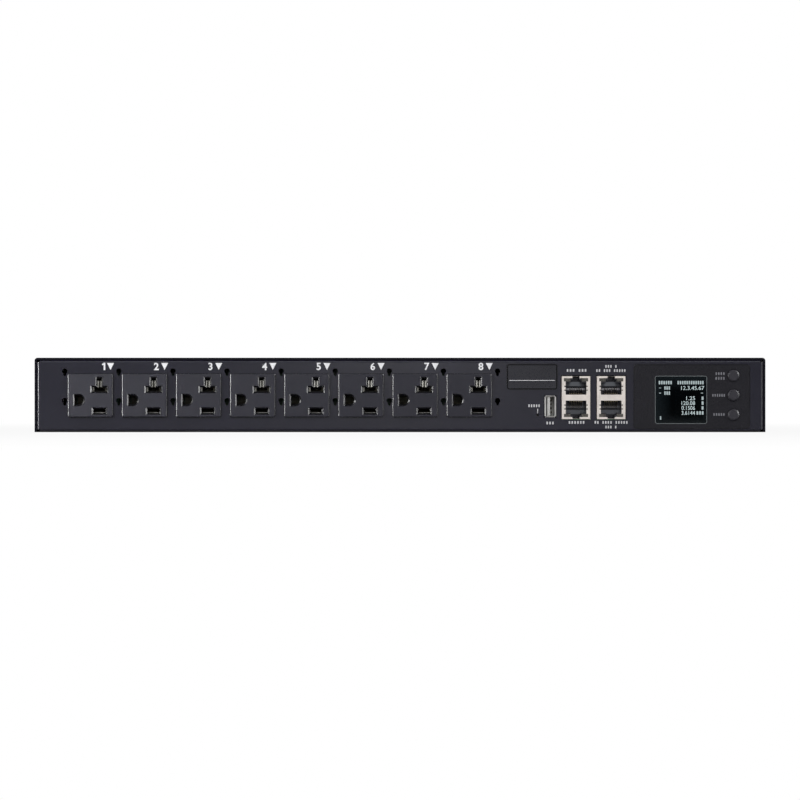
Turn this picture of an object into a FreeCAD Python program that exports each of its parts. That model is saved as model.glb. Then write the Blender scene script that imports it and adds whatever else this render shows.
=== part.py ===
import FreeCAD, Part
import math
import operator
import os
import Sketcher

# Driving dimensions in millimetres. X runs along the width, Y to the rear, Z up.
SIZES = {
    # Sheet-metal case
    "width": 432.4,
    "height": 44.0,
    "depth": 212.0,
    "gauge": 1.2,
    "bend": 1.6,
    "cover_bend": 1.8,
    "fit_gap": 0.25,
    "tray_lift": 0.5,
    "lip": 11.0,
    "side_return": 13.0,
    "flange": 12.0,
    "relief": 1.2,
    "setback": 0.8,
    "recess": 0.6,
    "film": 0.5,
    "film_gap": 0.35,
    # Cover screws and bracket nuts
    "cover_screw_span": 74.0,
    "cover_screw_height": 7.0,
    "screw_radius": 1.5,
    "screw_head": 2.7,
    "screw_head_height": 1.8,
    "screw_play": 0.2,
    "screw_length": 6.0,
    "bracket_pitch_along": 26.0,
    "bracket_pitch_up": 16.0,
    "bracket_height": 26.0,
    "bracket_bore": 1.65,
    "nut_corner": 4.0,
    "nut_height": 2.6,
    "nut_clear": 1.2,
    # Outlets
    "outlet_count": 8,
    "outlet_pitch": 32.0,
    "outlet_first": -183.1,
    "outlet_height": 21.7,
    "face_width": 26.6,
    "face_height": 25.8,
    "face_corner": 0.9,
    "face_edge": 0.6,
    "face_proud": 1.6,
    "face_wall": 2.6,
    "trunk_width": 24.4,
    "trunk_height": 24.6,
    "trunk_depth": 24.0,
    "trunk_gap": 0.2,
    "latch_reach": 0.9,
    "latch_height": 8.0,
    "latch_run": 5.0,
    "latch_play": 0.15,
    # Outlet slots, measured from the middle of the face
    "blade_offset": 5.4,
    "neutral_rise": 3.55,
    "line_drop": 9.2,
    "neutral_length": 8.8,
    "line_length": 7.1,
    "slot_width": 2.5,
    "stem_width": 2.6,
    "stem_rise": 10.1,
    "ground_offset": 6.85,
    "ground_drop": 2.71,
    "ground_radius": 2.75,
    "ground_flat": 2.35,
    "lead_in": 0.95,
    # Outlet contacts
    "leaf": 0.6,
    "leaf_flare": 1.1,
    "throat_share": 0.15,
    "belly_share": 0.5,
    "blade_grip": 0.3,
    "ground_grip": 2.15,
    "line_clip_width": 6.4,
    "neutral_clip_width": 8.2,
    "ground_clip_width": 4.6,
    "line_clip_rise": 0.45,
    "stem_leaf": 1.0,
    "stem_leaf_inner": 0.18,
    "stem_leaf_low": 1.35,
    "stem_leaf_rise": 5.2,
    "guide_width": 0.8,
    "guide_depth": 3.0,
    "clip_setback": 0.5,
    "clip_play": 0.25,
    "tab_width": 4.0,
    "tab_thickness": 0.8,
    "tab_play": 0.1,
    "tab_end": 1.2,
    # Cable-tie keyholes between the outlets
    "keyhole_offset": 15.2,
    "keyhole_upper": 36.1,
    "keyhole_lower": 18.6,
    "keyhole_radius": 1.6,
    "keyhole_slot": 0.85,
    "keyhole_drop": 2.9,
    # Bare name plate
    "plate_across": 78.15,
    "plate_up": 32.7,
    "plate_width": 29.6,
    "plate_height": 14.8,
    "plate_corner": 1.3,
    # Display
    "display_across": 172.6,
    "display_up": 21.0,
    "display_width": 68.4,
    "display_height": 37.7,
    "display_corner": 1.8,
    "window_across": 166.2,
    "window_up": 19.1,
    "window_width": 30.8,
    "window_height": 28.4,
    "window_corner": 1.3,
    "window_gap": 0.1,
    "window_ledge": 1.0,
    "module_rim": 1.6,
    "module_depth": 6.0,
    "module_gap": 0.2,
    "glass_depth": 1.6,
    # Push buttons beside the display
    "button_across": 197.3,
    "button_up": 21.8,
    "button_pitch": 11.6,
    "button_radius": 3.45,
    "button_play": 0.3,
    "button_proud": 0.9,
    "button_bevel": 0.8,
    "button_flange": 0.95,
    "button_flange_depth": 0.8,
    "button_stem": 1.5,
    "button_travel": 0.5,
    "plunger_radius": 1.7,
    "plunger_play": 0.2,
    "plunger_reach": 1.0,
    "plunger_buried": 1.2,
    "switch_side": 6.0,
    # Reset switch behind its pinhole
    "reset_across": 81.4,
    "reset_up": 10.2,
    "reset_pinhole": 0.8,
    "reset_radius": 1.2,
    "reset_reach": 1.2,
    "reset_setback": 1.4,
    "reset_switch_width": 6.2,
    "reset_switch_depth": 3.6,
    "reset_travel": 0.3,
    # Upright USB socket
    "usb_across": 88.9,
    "usb_up": 15.2,
    "usb_width": 5.9,
    "usb_height": 12.7,
    "usb_sheet": 0.4,
    "usb_corner": 0.7,
    "usb_lip": 0.45,
    "usb_lip_depth": 0.5,
    "usb_leg_length": 2.0,
    "usb_depth": 14.0,
    "usb_proud": 0.3,
    "usb_gap": 0.3,
    "tongue_thickness": 1.7,
    "tongue_height": 11.0,
    "tongue_offset": 1.0,
    "tongue_setback": 0.8,
    "tongue_root": 3.0,
    "pin_count": 4,
    "pin_pitch": 2.3,
    "pin_width": 1.0,
    "pin_thickness": 0.25,
    "pin_length": 7.5,
    "pin_bow": 0.85,
    "pin_crest": 2.2,
    "pin_seat": 1.5,
    # Stacked jacks
    "jack_across": 104.1,
    "jack_pitch": 20.8,
    "jack_count": 2,
    "jack_up": 20.4,
    "jack_width": 16.8,
    "jack_height": 25.4,
    "jack_depth": 22.0,
    "jack_proud": 0.3,
    "jack_sheet": 0.3,
    "jack_gap": 0.5,
    "port_width": 12.2,
    "port_near": 1.75,
    "port_far": 9.6,
    "lamp_width": 14.3,
    "lamp_far": 11.5,
    "notch_width": 4.4,
    "finger_gap": 0.7,
    "finger_reach": 0.8,
    "finger_low": 4.4,
    "finger_high": 6.7,
    "insert_play": 0.1,
    "cavity_play": 0.2,
    "cavity_depth": 14.0,
    "cavity_far": 8.9,
    "latch_step_width": 6.3,
    "latch_step_far": 10.3,
    "lamp_inner": 3.3,
    "lamp_depth": 4.0,
    "lamp_play": 0.1,
    "wire_count": 8,
    "wire_pitch": 1.02,
    "wire_size": 0.45,
    "wire_rise": 3.4,
    "wire_front": 1.6,
    "wire_run": 10.5,
    "comb_low": 4.8,
    "comb_height": 1.3,
    "comb_gap": 0.3,
    # Circuit boards
    "board": 1.6,
    "outlet_board_gap": 2.0,
    "outlet_board_margin": 16.0,
    "outlet_board_clear": 2.0,
    "relay_width": 19.0,
    "relay_height": 15.4,
    "relay_depth": 15.0,
    "relay_edge": 0.8,
    "relay_leg_span": 12.6,
    "relay_leg_rise": 6.0,
    "control_left": 74.0,
    "control_right": 137.0,
    "control_depth": 84.0,
    "control_hole_depth": 44.0,
    "board_inset": 1.5,
    "board_hole_inset": 4.0,
    "standoff_radius": 3.0,
    "supply_across": 10.0,
    "supply_back": 50.0,
    "supply_width": 90.0,
    "supply_depth": 60.0,
    "transformer_width": 26.0,
    "transformer_depth": 22.0,
    "transformer_height": 20.0,
    "core_thickness": 6.0,
    "capacitor_radius": 7.0,
    "capacitor_height": 22.0,
    "capacitor_pitch": 18.0,
    # Rear power inlet
    "inlet_across": -150.0,
    "inlet_up": 22.0,
    "inlet_flange_width": 50.0,
    "inlet_flange_height": 30.0,
    "inlet_flange": 3.0,
    "inlet_corner": 3.0,
    "inlet_width": 33.0,
    "inlet_height": 25.0,
    "inlet_depth": 28.0,
    "inlet_gap": 0.3,
    "mouth_width": 28.6,
    "mouth_height": 20.4,
    "mouth_depth": 21.0,
    "mouth_corner": 2.5,
    "inlet_screw_span": 40.0,
    "blade_width": 8.0,
    "blade_thickness": 2.0,
    "blade_tip": 4.0,
    "blade_tail": 8.0,
    "blade_play": 0.1,
    "live_span": 13.0,
    "live_drop": 4.0,
    "earth_rise": 4.0,
    # Resettable breaker
    "breaker_across": -100.0,
    "breaker_up": 22.0,
    "breaker_width": 15.0,
    "breaker_height": 32.0,
    "breaker_depth": 30.0,
    "bush_radius": 5.5,
    "bush_length": 3.4,
    "bush_play": 0.2,
    "breaker_nut_corner": 8.6,
    "breaker_nut_height": 2.2,
    "breaker_button_radius": 3.4,
    "breaker_button_play": 0.3,
    "breaker_button_proud": 4.6,
    "breaker_button_buried": 12.0,
    "terminal_size": 6.0,
    "terminal_length": 8.0,
    "terminal_thickness": 0.8,
    # Ground screw and inner wires
    "stud_across": -190.0,
    "stud_radius": 2.0,
    "stud_head": 4.2,
    "stud_head_height": 2.8,
    "stud_length": 12.0,
    "stud_play": 0.2,
    "stud_nut_corner": 4.2,
    "stud_nut_height": 3.2,
    "wire_radius": 1.5,
    "wire_bend": 10.0,
    "wire_seat": 0.2,
}

OPERATORS = {"+": operator.add, "-": operator.sub, "*": operator.mul, "/": operator.truediv}


class Size:
    """A length that carries both its sheet formula and its present value."""

    def __init__(self, formula, value):
        self.formula = formula
        self.value = value

    def __add__(self, other):
        return combine(self, "+", other)

    def __radd__(self, other):
        return combine(other, "+", self)

    def __sub__(self, other):
        return combine(self, "-", other)

    def __rsub__(self, other):
        return combine(other, "-", self)

    def __mul__(self, other):
        return combine(self, "*", other)

    def __rmul__(self, other):
        return combine(other, "*", self)

    def __truediv__(self, other):
        return combine(self, "/", other)

    def __neg__(self):
        return combine(0, "-", self)


def as_size(value):
    return value if isinstance(value, Size) else Size(repr(value), value)


def combine(left, sign, right):
    left, right = as_size(left), as_size(right)
    value = OPERATORS[sign](left.value, right.value)
    return Size(f"({left.formula} {sign} {right.formula})", value)


class Sheet:
    """The spreadsheet of driving dimensions, with one attribute for each alias."""

    def __init__(self, document, sizes):
        table = document.addObject("Spreadsheet::Sheet", "Sizes")
        for row, (name, value) in enumerate(sizes.items(), start=1):
            table.set(f"A{row}", name)
            table.set(f"B{row}", str(value))
            table.setAlias(f"B{row}", name)
            setattr(self, name, Size(f"Sizes.{name}", value))


doc = FreeCAD.newDocument("rack_power_unit")
S = Sheet(doc, SIZES)
doc.recompute()
sub_parts = []

# Places that many pieces share
FRONT = -S.depth / 2
BACK = S.depth / 2
TRAY_HALF = S.width / 2 - S.gauge - S.fit_gap
FLAT_HALF = TRAY_HALF - S.bend
TRAY_TOP = S.height - S.gauge - S.fit_gap
FLOOR = S.tray_lift + S.gauge
INNER_BEND = S.bend - S.gauge
BOARD_TOP = S.jack_up - S.jack_height / 2
BOARD_UNDER = BOARD_TOP - S.board
OUTLET_BOARD_FACE = S.trunk_depth + S.outlet_board_gap
CLIP_FRONT = S.face_wall - S.face_proud + S.clip_setback
CLIP_BACK = S.trunk_depth - S.clip_setback - S.leaf
DISPLAY_BOARD_FACE = S.gauge + S.module_gap + S.module_depth
BUTTON_BACK = S.gauge + S.button_play + S.button_flange_depth
PLUNGER_FRONT = BUTTON_BACK + S.button_travel + S.button_play
SWITCH_FRONT = PLUNGER_FRONT + S.plunger_reach
BRACKET_INSET = S.side_return + S.nut_corner + S.nut_clear
STUD_UP = S.inlet_up + S.earth_rise


# Helpers for sheet-bound objects

def bind(item, name, size):
    item.setExpression(name, as_size(size).formula)


def place(item, x=0, y=0, z=0):
    bind(item, "Placement.Base.x", x)
    bind(item, "Placement.Base.y", y)
    bind(item, "Placement.Base.z", z)
    return item


def publish(item, label):
    item.Label = label
    sub_parts.append(item)
    return item


def new_body(label, x=0, y=0, z=0):
    body = doc.addObject("PartDesign::Body", label)
    place(body, x, y, z)
    return publish(body, label)


def origin_feature(body, role):
    return next(f for f in body.Origin.OriginFeatures if f.Role == role)


def sketch(body, plane, offset=0):
    drawing = body.newObject("Sketcher::SketchObject", body.Name + "_sketch")
    drawing.AttachmentSupport = (origin_feature(body, plane), [""])
    drawing.MapMode = "FlatFace"
    bind(drawing, "AttachmentOffset.Base.z", offset)
    return drawing


def front_sketch(body, depth=0):
    """A sketch facing the front, at the given depth behind the body's origin."""
    return sketch(body, "XZ_Plane", -as_size(depth))


def constrain(drawing, rows):
    """Add constraints; a row is (kind, elements) or (kind, elements, size) for a bound dimension."""
    made = []
    for kind, elements, *size in rows:
        values = [as_size(size[0]).value] if size else []
        made.append(Sketcher.Constraint(kind, *elements, *values))
    indices = drawing.addConstraint(made)
    for index, row in zip(indices, rows):
        if len(row) == 3:
            name = f"size{index}"
            drawing.renameConstraint(index, name)
            bind(drawing, f"Constraints.{name}", row[2])


def pin_point(geometry, position, point):
    """Rows that hold one point of a sketch element at its coordinates."""
    across = ("DistanceX", (-1, 1, geometry, position), point[0])
    up = ("DistanceY", (-1, 1, geometry, position), point[1])
    return [across, up]


def heading(start, end):
    dx = as_size(end[0]).value - as_size(start[0]).value
    dy = as_size(end[1]).value - as_size(start[1]).value
    length = math.hypot(dx, dy)
    return round(dx / length), round(dy / length)


def shifted(point, radius, direction):
    moved = []
    for value, sign in zip(point, direction):
        moved.append(value if sign == 0 else as_size(value) + sign * radius)
    return tuple(moved)


def vector(point):
    return FreeCAD.Vector(as_size(point[0]).value, as_size(point[1]).value, 0)


def outline(drawing, corners):
    """A closed outline; a corner is (x, y), or (x, y, radius) where square edges meet."""
    bends = []
    for index, corner in enumerate(corners):
        point = corner[:2]
        if len(corner) == 2:
            bends.append((point, point, None, None))
            continue
        back_way = heading(corner, corners[index - 1])
        next_way = heading(corner, corners[(index + 1) % len(corners)])
        radius = corner[2]
        enter = shifted(point, radius, back_way)
        leave = shifted(point, radius, next_way)
        bends.append((enter, leave, shifted(enter, radius, next_way), radius))
    chain = []
    rows = []
    for index, (enter, leave, centre, radius) in enumerate(bends):
        if centre is not None:
            a, b, c = vector(enter), vector(leave), vector(centre)
            forward = (a - c).cross(b - c).z > 0
            first, last = (a, b) if forward else (b, a)
            circle = Part.Circle(c, FreeCAD.Vector(0, 0, 1), as_size(radius).value)
            turns = [math.atan2(p.y - c.y, p.x - c.x) for p in (first, last)]
            arc = drawing.addGeometry(Part.ArcOfCircle(circle, *turns), False)
            chain.append((arc, 1, 2) if forward else (arc, 2, 1))
            rows.append(("Radius", (arc,), radius))
        following = bends[(index + 1) % len(bends)]
        segment = Part.LineSegment(vector(leave), vector(following[0]))
        line = drawing.addGeometry(segment, False)
        chain.append((line, 1, 2))
        rows += pin_point(line, 1, leave)
        if following[2] is not None:
            rows += pin_point(line, 2, following[0])
    for index, (geometry, _, end) in enumerate(chain):
        after, start, _ = chain[(index + 1) % len(chain)]
        rows.append(("Coincident", (geometry, end, after, start)))
    constrain(drawing, rows)


def rectangle(drawing, centre, width, height, radius=None):
    x, y = as_size(centre[0]), as_size(centre[1])
    tail = () if radius is None else (radius,)
    left, right = x - width / 2, x + width / 2
    low, high = y - height / 2, y + height / 2
    outline(drawing, [(left, low) + tail, (right, low) + tail, (right, high) + tail, (left, high) + tail])


def circle(drawing, centre, radius):
    ring = Part.Circle(vector(centre), FreeCAD.Vector(0, 0, 1), as_size(radius).value)
    index = drawing.addGeometry(ring, False)
    constrain(drawing, pin_point(index, 3, centre) + [("Radius", (index,), radius)])


def arched_hole(drawing, centre, radius, flat):
    """A hole with a round arch on its right and a square flat side on its left."""
    c = vector(centre)
    ring = Part.Circle(c, FreeCAD.Vector(0, 0, 1), as_size(radius).value)
    arch_shape = Part.ArcOfCircle(ring, -math.pi / 2, math.pi / 2)
    reach = FreeCAD.Vector(-as_size(flat).value, 0, 0)
    high, low = arch_shape.EndPoint, arch_shape.StartPoint
    arch = drawing.addGeometry(arch_shape, False)
    top = drawing.addGeometry(Part.LineSegment(high, high + reach), False)
    side = drawing.addGeometry(Part.LineSegment(high + reach, low + reach), False)
    bottom = drawing.addGeometry(Part.LineSegment(low + reach, low), False)
    rows = pin_point(arch, 3, centre)
    rows.append(("Radius", (arch,), radius))
    rows.append(("DistanceX", (-1, 1, top, 1), centre[0]))
    rows.append(("DistanceX", (-1, 1, bottom, 2), centre[0]))
    rows.append(("DistanceX", (-1, 1, side, 1), centre[0] - flat))
    rows.append(("Horizontal", (top,)))
    rows.append(("Vertical", (side,)))
    rows.append(("Horizontal", (bottom,)))
    rows.append(("Coincident", (arch, 2, top, 1)))
    rows.append(("Coincident", (top, 2, side, 1)))
    rows.append(("Coincident", (side, 2, bottom, 1)))
    rows.append(("Coincident", (bottom, 2, arch, 1)))
    constrain(drawing, rows)


def keyhole(drawing, centre, radius, half_slot, drop):
    """A round hole that runs down into a narrower slot with a round end."""
    c = vector(centre)
    reach, half = as_size(radius).value, as_size(half_slot).value
    turn = math.acos(half / reach)
    normal = FreeCAD.Vector(0, 0, 1)
    head_shape = Part.ArcOfCircle(Part.Circle(c, normal, reach), -turn, math.pi + turn)
    foot_centre = (centre[0], centre[1] - drop + half_slot)
    foot_circle = Part.Circle(vector(foot_centre), normal, half)
    foot_shape = Part.ArcOfCircle(foot_circle, math.pi, 2 * math.pi)
    head = drawing.addGeometry(head_shape, False)
    left = drawing.addGeometry(Part.LineSegment(head_shape.EndPoint, foot_shape.StartPoint), False)
    foot = drawing.addGeometry(foot_shape, False)
    right = drawing.addGeometry(Part.LineSegment(foot_shape.EndPoint, head_shape.StartPoint), False)
    rows = pin_point(head, 3, centre)
    rows.append(("Radius", (head,), radius))
    rows += pin_point(foot, 3, foot_centre)
    rows.append(("Radius", (foot,), half_slot))
    rows.append(("DistanceY", (-1, 1, left, 2), foot_centre[1]))
    rows.append(("DistanceY", (-1, 1, right, 1), foot_centre[1]))
    rows.append(("Vertical", (left,)))
    rows.append(("Vertical", (right,)))
    rows.append(("Coincident", (head, 2, left, 1)))
    rows.append(("Coincident", (left, 2, foot, 1)))
    rows.append(("Coincident", (foot, 2, right, 1)))
    rows.append(("Coincident", (right, 2, head, 1)))
    constrain(drawing, rows)


def extrude(body, kind, drawing, length, reverse, middle):
    feature = body.newObject("PartDesign::" + kind, f"{body.Name}_{kind.lower()}")
    feature.Profile = drawing
    feature.Reversed = reverse
    if middle:
        feature.SideType = "Symmetric"
    if length is None:
        feature.Type = "ThroughAll"
    else:
        bind(feature, "Length", length)
    body.Tip = feature
    return feature


def pad(body, drawing, length, reverse=False, middle=False):
    return extrude(body, "Pad", drawing, length, reverse, middle)


def pocket(body, drawing, length=None, reverse=False, middle=False):
    return extrude(body, "Pocket", drawing, length, reverse, middle)


def pattern(body, axis, pitch, count, feature=None):
    """Repeat one feature, or the whole body where no feature is named."""
    doc.recompute()
    row = body.newObject("PartDesign::LinearPattern", body.Name + "_row")
    row.Direction = (origin_feature(body, axis), [""])
    if feature is None:
        row.TransformMode = "Whole shape"
    else:
        row.Originals = [feature]
    bind(row, "Length", pitch * (count - 1))
    bind(row, "Occurrences", count)
    body.Tip = row
    return row


def mirror(body, plane):
    """Add the mirror image of the whole body."""
    doc.recompute()
    image = body.newObject("PartDesign::Mirrored", body.Name + "_image")
    image.TransformMode = "Whole shape"
    image.MirrorPlane = (origin_feature(body, plane), [""])
    body.Tip = image
    return image


def revolve(body, drawing, axis):
    feature = body.newObject("PartDesign::Revolution", body.Name + "_turning")
    feature.Profile = drawing
    feature.ReferenceAxis = (origin_feature(body, axis), [""])
    feature.Angle = 360
    body.Tip = feature
    return feature


def dress(body, kind, size, chosen):
    """Fillet or chamfer the edges of the body that the test picks."""
    doc.recompute()
    base = body.Tip
    names = [f"Edge{i}" for i, edge in enumerate(base.Shape.Edges, start=1) if chosen(edge.BoundBox)]
    feature = body.newObject("PartDesign::" + kind, f"{body.Name}_{kind.lower()}")
    feature.Base = (base, names)
    bind(feature, "Radius" if kind == "Fillet" else "Size", size)
    body.Tip = feature
    return feature


def level(low, high, value):
    """Do both ends of a range lie at the given value?"""
    wanted = as_size(value).value
    return abs(low - wanted) < 1e-4 and abs(high - wanted) < 1e-4


AXIS_TURNS = {
    "X": FreeCAD.Rotation(FreeCAD.Vector(0, 1, 0), 90),
    "-X": FreeCAD.Rotation(FreeCAD.Vector(0, 1, 0), -90),
    "Y": FreeCAD.Rotation(FreeCAD.Vector(1, 0, 0), -90),
    "-Y": FreeCAD.Rotation(FreeCAD.Vector(1, 0, 0), 90),
    "Z": FreeCAD.Rotation(),
}


def block(x, y, z):
    """A box between low and high values along each axis."""
    box = doc.addObject("Part::Box", "block")
    for name, (low, high) in (("Length", x), ("Width", y), ("Height", z)):
        bind(box, name, as_size(high) - low)
    return place(box, x[0], y[0], z[0])


def rod(start, axis, radius, length):
    bar = doc.addObject("Part::Cylinder", "rod")
    bar.Placement.Rotation = AXIS_TURNS[axis]
    bind(bar, "Radius", radius)
    bind(bar, "Height", length)
    return place(bar, *start)


def hexagon(start, axis, corner, length):
    prism = doc.addObject("Part::Prism", "hexagon")
    prism.Polygon = 6
    prism.Placement.Rotation = AXIS_TURNS[axis]
    bind(prism, "Circumradius", corner)
    bind(prism, "Height", length)
    return place(prism, *start)


def cone(start, axis, near, far, length):
    taper = doc.addObject("Part::Cone", "cone")
    taper.Placement.Rotation = AXIS_TURNS[axis]
    bind(taper, "Radius1", near)
    bind(taper, "Radius2", far)
    bind(taper, "Height", length)
    return place(taper, *start)


def fuse(*shapes):
    joined = doc.addObject("Part::MultiFuse", "fuse")
    joined.Shapes = list(shapes)
    return joined


def cut(base, tool):
    rest = doc.addObject("Part::Cut", "cut")
    rest.Base = base
    rest.Tool = tool
    return rest


def group(label, shapes):
    together = doc.addObject("Part::Compound", label)
    together.Links = shapes
    return publish(together, label)


# Case

def outlet_place(index=0):
    return S.outlet_first + index * S.outlet_pitch


def cover_screw_places():
    return [-S.cover_screw_span, 0, S.cover_screw_span]


def bracket_places():
    """Y and Z of the bracket holes, a front set and a rear set of four."""
    spots = []
    for edge, inward in ((FRONT, 1), (BACK, -1)):
        for step in (BRACKET_INSET, BRACKET_INSET + S.bracket_pitch_along):
            for up in (-1, 1):
                spots.append((edge + inward * step, S.bracket_height + up * S.bracket_pitch_up / 2))
    return spots


def button_places():
    return [S.button_up + step * S.button_pitch for step in (1, 0, -1)]


def fold_tray(body):
    profile = sketch(body, "YZ_Plane")
    under_lip = TRAY_TOP - S.gauge
    outline(profile, [
        (FRONT + S.lip, TRAY_TOP),
        (FRONT, TRAY_TOP, S.bend),
        (FRONT, S.tray_lift, S.bend),
        (BACK, S.tray_lift, S.bend),
        (BACK, TRAY_TOP, S.bend),
        (BACK - S.lip, TRAY_TOP),
        (BACK - S.lip, under_lip),
        (BACK - S.gauge, under_lip, INNER_BEND),
        (BACK - S.gauge, FLOOR, INNER_BEND),
        (FRONT + S.gauge, FLOOR, INNER_BEND),
        (FRONT + S.gauge, under_lip, INNER_BEND),
        (FRONT + S.lip, under_lip),
    ])
    pad(body, profile, 2 * FLAT_HALF, middle=True)
    returns = sketch(body, "XY_Plane", S.tray_lift + S.relief)
    for side in (-1, 1):
        for edge, inward in ((FRONT, 1), (BACK, -1)):
            folded_strip(returns, side * FLAT_HALF, side, edge, inward, S.side_return)
    pad(body, returns, TRAY_TOP - S.tray_lift - 2 * S.relief)
    flanges = sketch(body, "XZ_Plane")
    for side in (-1, 1):
        folded_strip(flanges, side * FLAT_HALF, side, S.tray_lift, 1, S.flange)
    pad(body, flanges, S.depth - 2 * (S.side_return + S.relief), middle=True)


def folded_strip(drawing, start, side, edge, inward, reach):
    """The section of a strip that turns a bend and runs inward by its reach."""
    root = start - side * S.gauge
    outer = start + side * S.bend
    inner = outer - side * S.gauge
    outline(drawing, [
        (root, edge),
        (outer, edge, S.bend),
        (outer, edge + inward * reach),
        (inner, edge + inward * reach),
        (inner, edge + inward * S.gauge, INNER_BEND),
        (root, edge + inward * S.gauge),
    ])


def cut_front_panel(body):
    through = 2 * S.gauge
    sockets = front_sketch(body, FRONT)
    rectangle(sockets, (outlet_place(), S.outlet_height),
              S.trunk_width + 2 * S.trunk_gap, S.trunk_height + 2 * S.trunk_gap)
    pattern(body, "X_Axis", S.outlet_pitch, S.outlet_count, pocket(body, sockets, through))
    ties = front_sketch(body, FRONT)
    for up in (S.keyhole_upper, S.keyhole_lower):
        keyhole(ties, (outlet_place() - S.keyhole_offset, up),
                S.keyhole_radius, S.keyhole_slot, S.keyhole_drop)
    pattern(body, "X_Axis", S.outlet_pitch, S.outlet_count + 1, pocket(body, ties, through))
    shallow = front_sketch(body, FRONT)
    rectangle(shallow, (S.plate_across, S.plate_up), S.plate_width + 2 * S.film_gap,
              S.plate_height + 2 * S.film_gap, S.plate_corner + S.film_gap)
    rectangle(shallow, (S.display_across, S.display_up), S.display_width + 2 * S.film_gap,
              S.display_height + 2 * S.film_gap, S.display_corner + S.film_gap)
    pocket(body, shallow, S.recess)
    ports = front_sketch(body, FRONT)
    rectangle(ports, (S.window_across, S.window_up), S.window_width - 2 * S.window_ledge,
              S.window_height - 2 * S.window_ledge)
    for up in button_places():
        circle(ports, (S.button_across, up), S.button_radius + S.button_play)
    for index in range(S.jack_count.value):
        rectangle(ports, (S.jack_across + index * S.jack_pitch, S.jack_up),
                  S.jack_width + 2 * S.jack_gap, S.jack_height + 2 * S.jack_gap)
    rectangle(ports, (S.usb_across, S.usb_up), S.usb_width + 2 * (S.usb_lip + S.usb_gap),
              S.usb_height + 2 * S.usb_gap)
    circle(ports, (S.reset_across, S.reset_up), S.reset_pinhole)
    pocket(body, ports, through)


def cut_rear_panel(body):
    openings = front_sketch(body, BACK)
    rectangle(openings, (S.inlet_across, S.inlet_up), S.inlet_width + 2 * S.inlet_gap,
              S.inlet_height + 2 * S.inlet_gap, S.inlet_corner)
    for side in (-1, 1):
        circle(openings, (S.inlet_across + side * S.inlet_screw_span / 2, S.inlet_up),
               S.screw_radius + S.screw_play)
    circle(openings, (S.breaker_across, S.breaker_up), S.bush_radius + S.bush_play)
    circle(openings, (S.stud_across, STUD_UP), S.stud_radius + S.stud_play)
    pocket(body, openings, 2 * S.gauge, reverse=True)


def chassis_tray():
    body = new_body("chassis_tray")
    fold_tray(body)
    cut_front_panel(body)
    cut_rear_panel(body)
    holes = sketch(body, "YZ_Plane")
    for along in cover_screw_places():
        circle(holes, (along, S.cover_screw_height), S.screw_radius + S.screw_play)
    pocket(body, holes, middle=True)


def top_cover():
    body = new_body("top_cover")
    half = S.width / 2
    inner_half = half - S.gauge
    inner_bend = S.cover_bend - S.gauge
    profile = sketch(body, "XZ_Plane")
    outline(profile, [
        (-half, 0),
        (-inner_half, 0),
        (-inner_half, S.height - S.gauge, inner_bend),
        (inner_half, S.height - S.gauge, inner_bend),
        (inner_half, 0),
        (half, 0),
        (half, S.height, S.cover_bend),
        (-half, S.height, S.cover_bend),
    ])
    pad(body, profile, S.depth - 2 * S.setback, middle=True)
    holes = sketch(body, "YZ_Plane")
    for spot in bracket_places():
        circle(holes, spot, S.bracket_bore)
    pocket(body, holes, middle=True)
    seats = sketch(body, "YZ_Plane")
    for along in cover_screw_places():
        circle(seats, (along, S.cover_screw_height), S.screw_radius + S.screw_play)
    pocket(body, seats, middle=True)
    low = S.cover_screw_height.value + 2 * S.screw_head.value

    def on_seat(box):
        round_edge = 0.1 < box.YLength < 2 * S.screw_head.value and box.ZMax < low
        sides = (level(box.XMin, box.XMax, half), level(box.XMin, box.XMax, -half))
        return round_edge and any(sides)

    dress(body, "Chamfer", S.screw_head - S.screw_radius - S.screw_play, on_seat)


def cover_screws():
    made = []
    seat = S.screw_head - S.screw_radius - S.screw_play
    for side, axis in ((-1, "X"), (1, "-X")):
        for along in cover_screw_places():
            spot = (side * S.width / 2, along, S.cover_screw_height)
            head = cone(spot, axis, S.screw_head - S.screw_play, S.screw_radius, seat)
            made.append(fuse(head, rod(spot, axis, S.screw_radius, S.screw_length)))
    group("cover_screws", made)


def bracket_nuts():
    made = []
    for side, axis in ((-1, "X"), (1, "-X")):
        for along, up in bracket_places():
            spot = (side * (S.width / 2 - S.gauge), along, up)
            body = hexagon(spot, axis, S.nut_corner, S.nut_height)
            made.append(cut(body, rod(spot, axis, S.bracket_bore, S.nut_height)))
    group("bracket_nuts", made)


# Outlets

def outlet(number):
    body = new_body(f"outlet_{number}", outlet_place(number - 1), FRONT, S.outlet_height)
    face = front_sketch(body)
    rectangle(face, (0, 0), S.face_width, S.face_height, S.face_corner)
    pad(body, face, S.face_proud)
    dress(body, "Fillet", S.face_edge, lambda box: level(box.YMin, box.YMax, -S.face_proud))
    trunk = front_sketch(body)
    rectangle(trunk, (0, 0), S.trunk_width, S.trunk_height)
    pad(body, trunk, S.trunk_depth, reverse=True)
    catch = sketch(body, "XY_Plane")
    seat = S.gauge + S.latch_play
    for side in (-1, 1):
        edge = side * S.trunk_width / 2
        outline(catch, [(edge, seat), (edge + side * S.latch_reach, seat), (edge, seat + S.latch_run)])
    pad(body, catch, S.latch_height, middle=True)
    cavities = front_sketch(body, S.trunk_depth)
    clip_cavities(cavities)
    pocket(body, cavities, S.trunk_depth - S.face_wall + S.face_proud, reverse=True)
    slots = front_sketch(body, -S.face_proud)
    outlet_slots(slots)
    pocket(body, slots, S.face_wall)

    def on_slot(box):
        inside = max(abs(box.XMin), abs(box.XMax)) < S.face_width.value / 2 - S.lead_in.value
        return inside and level(box.YMin, box.YMax, -S.face_proud)

    dress(body, "Chamfer", S.lead_in, on_slot)


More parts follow.
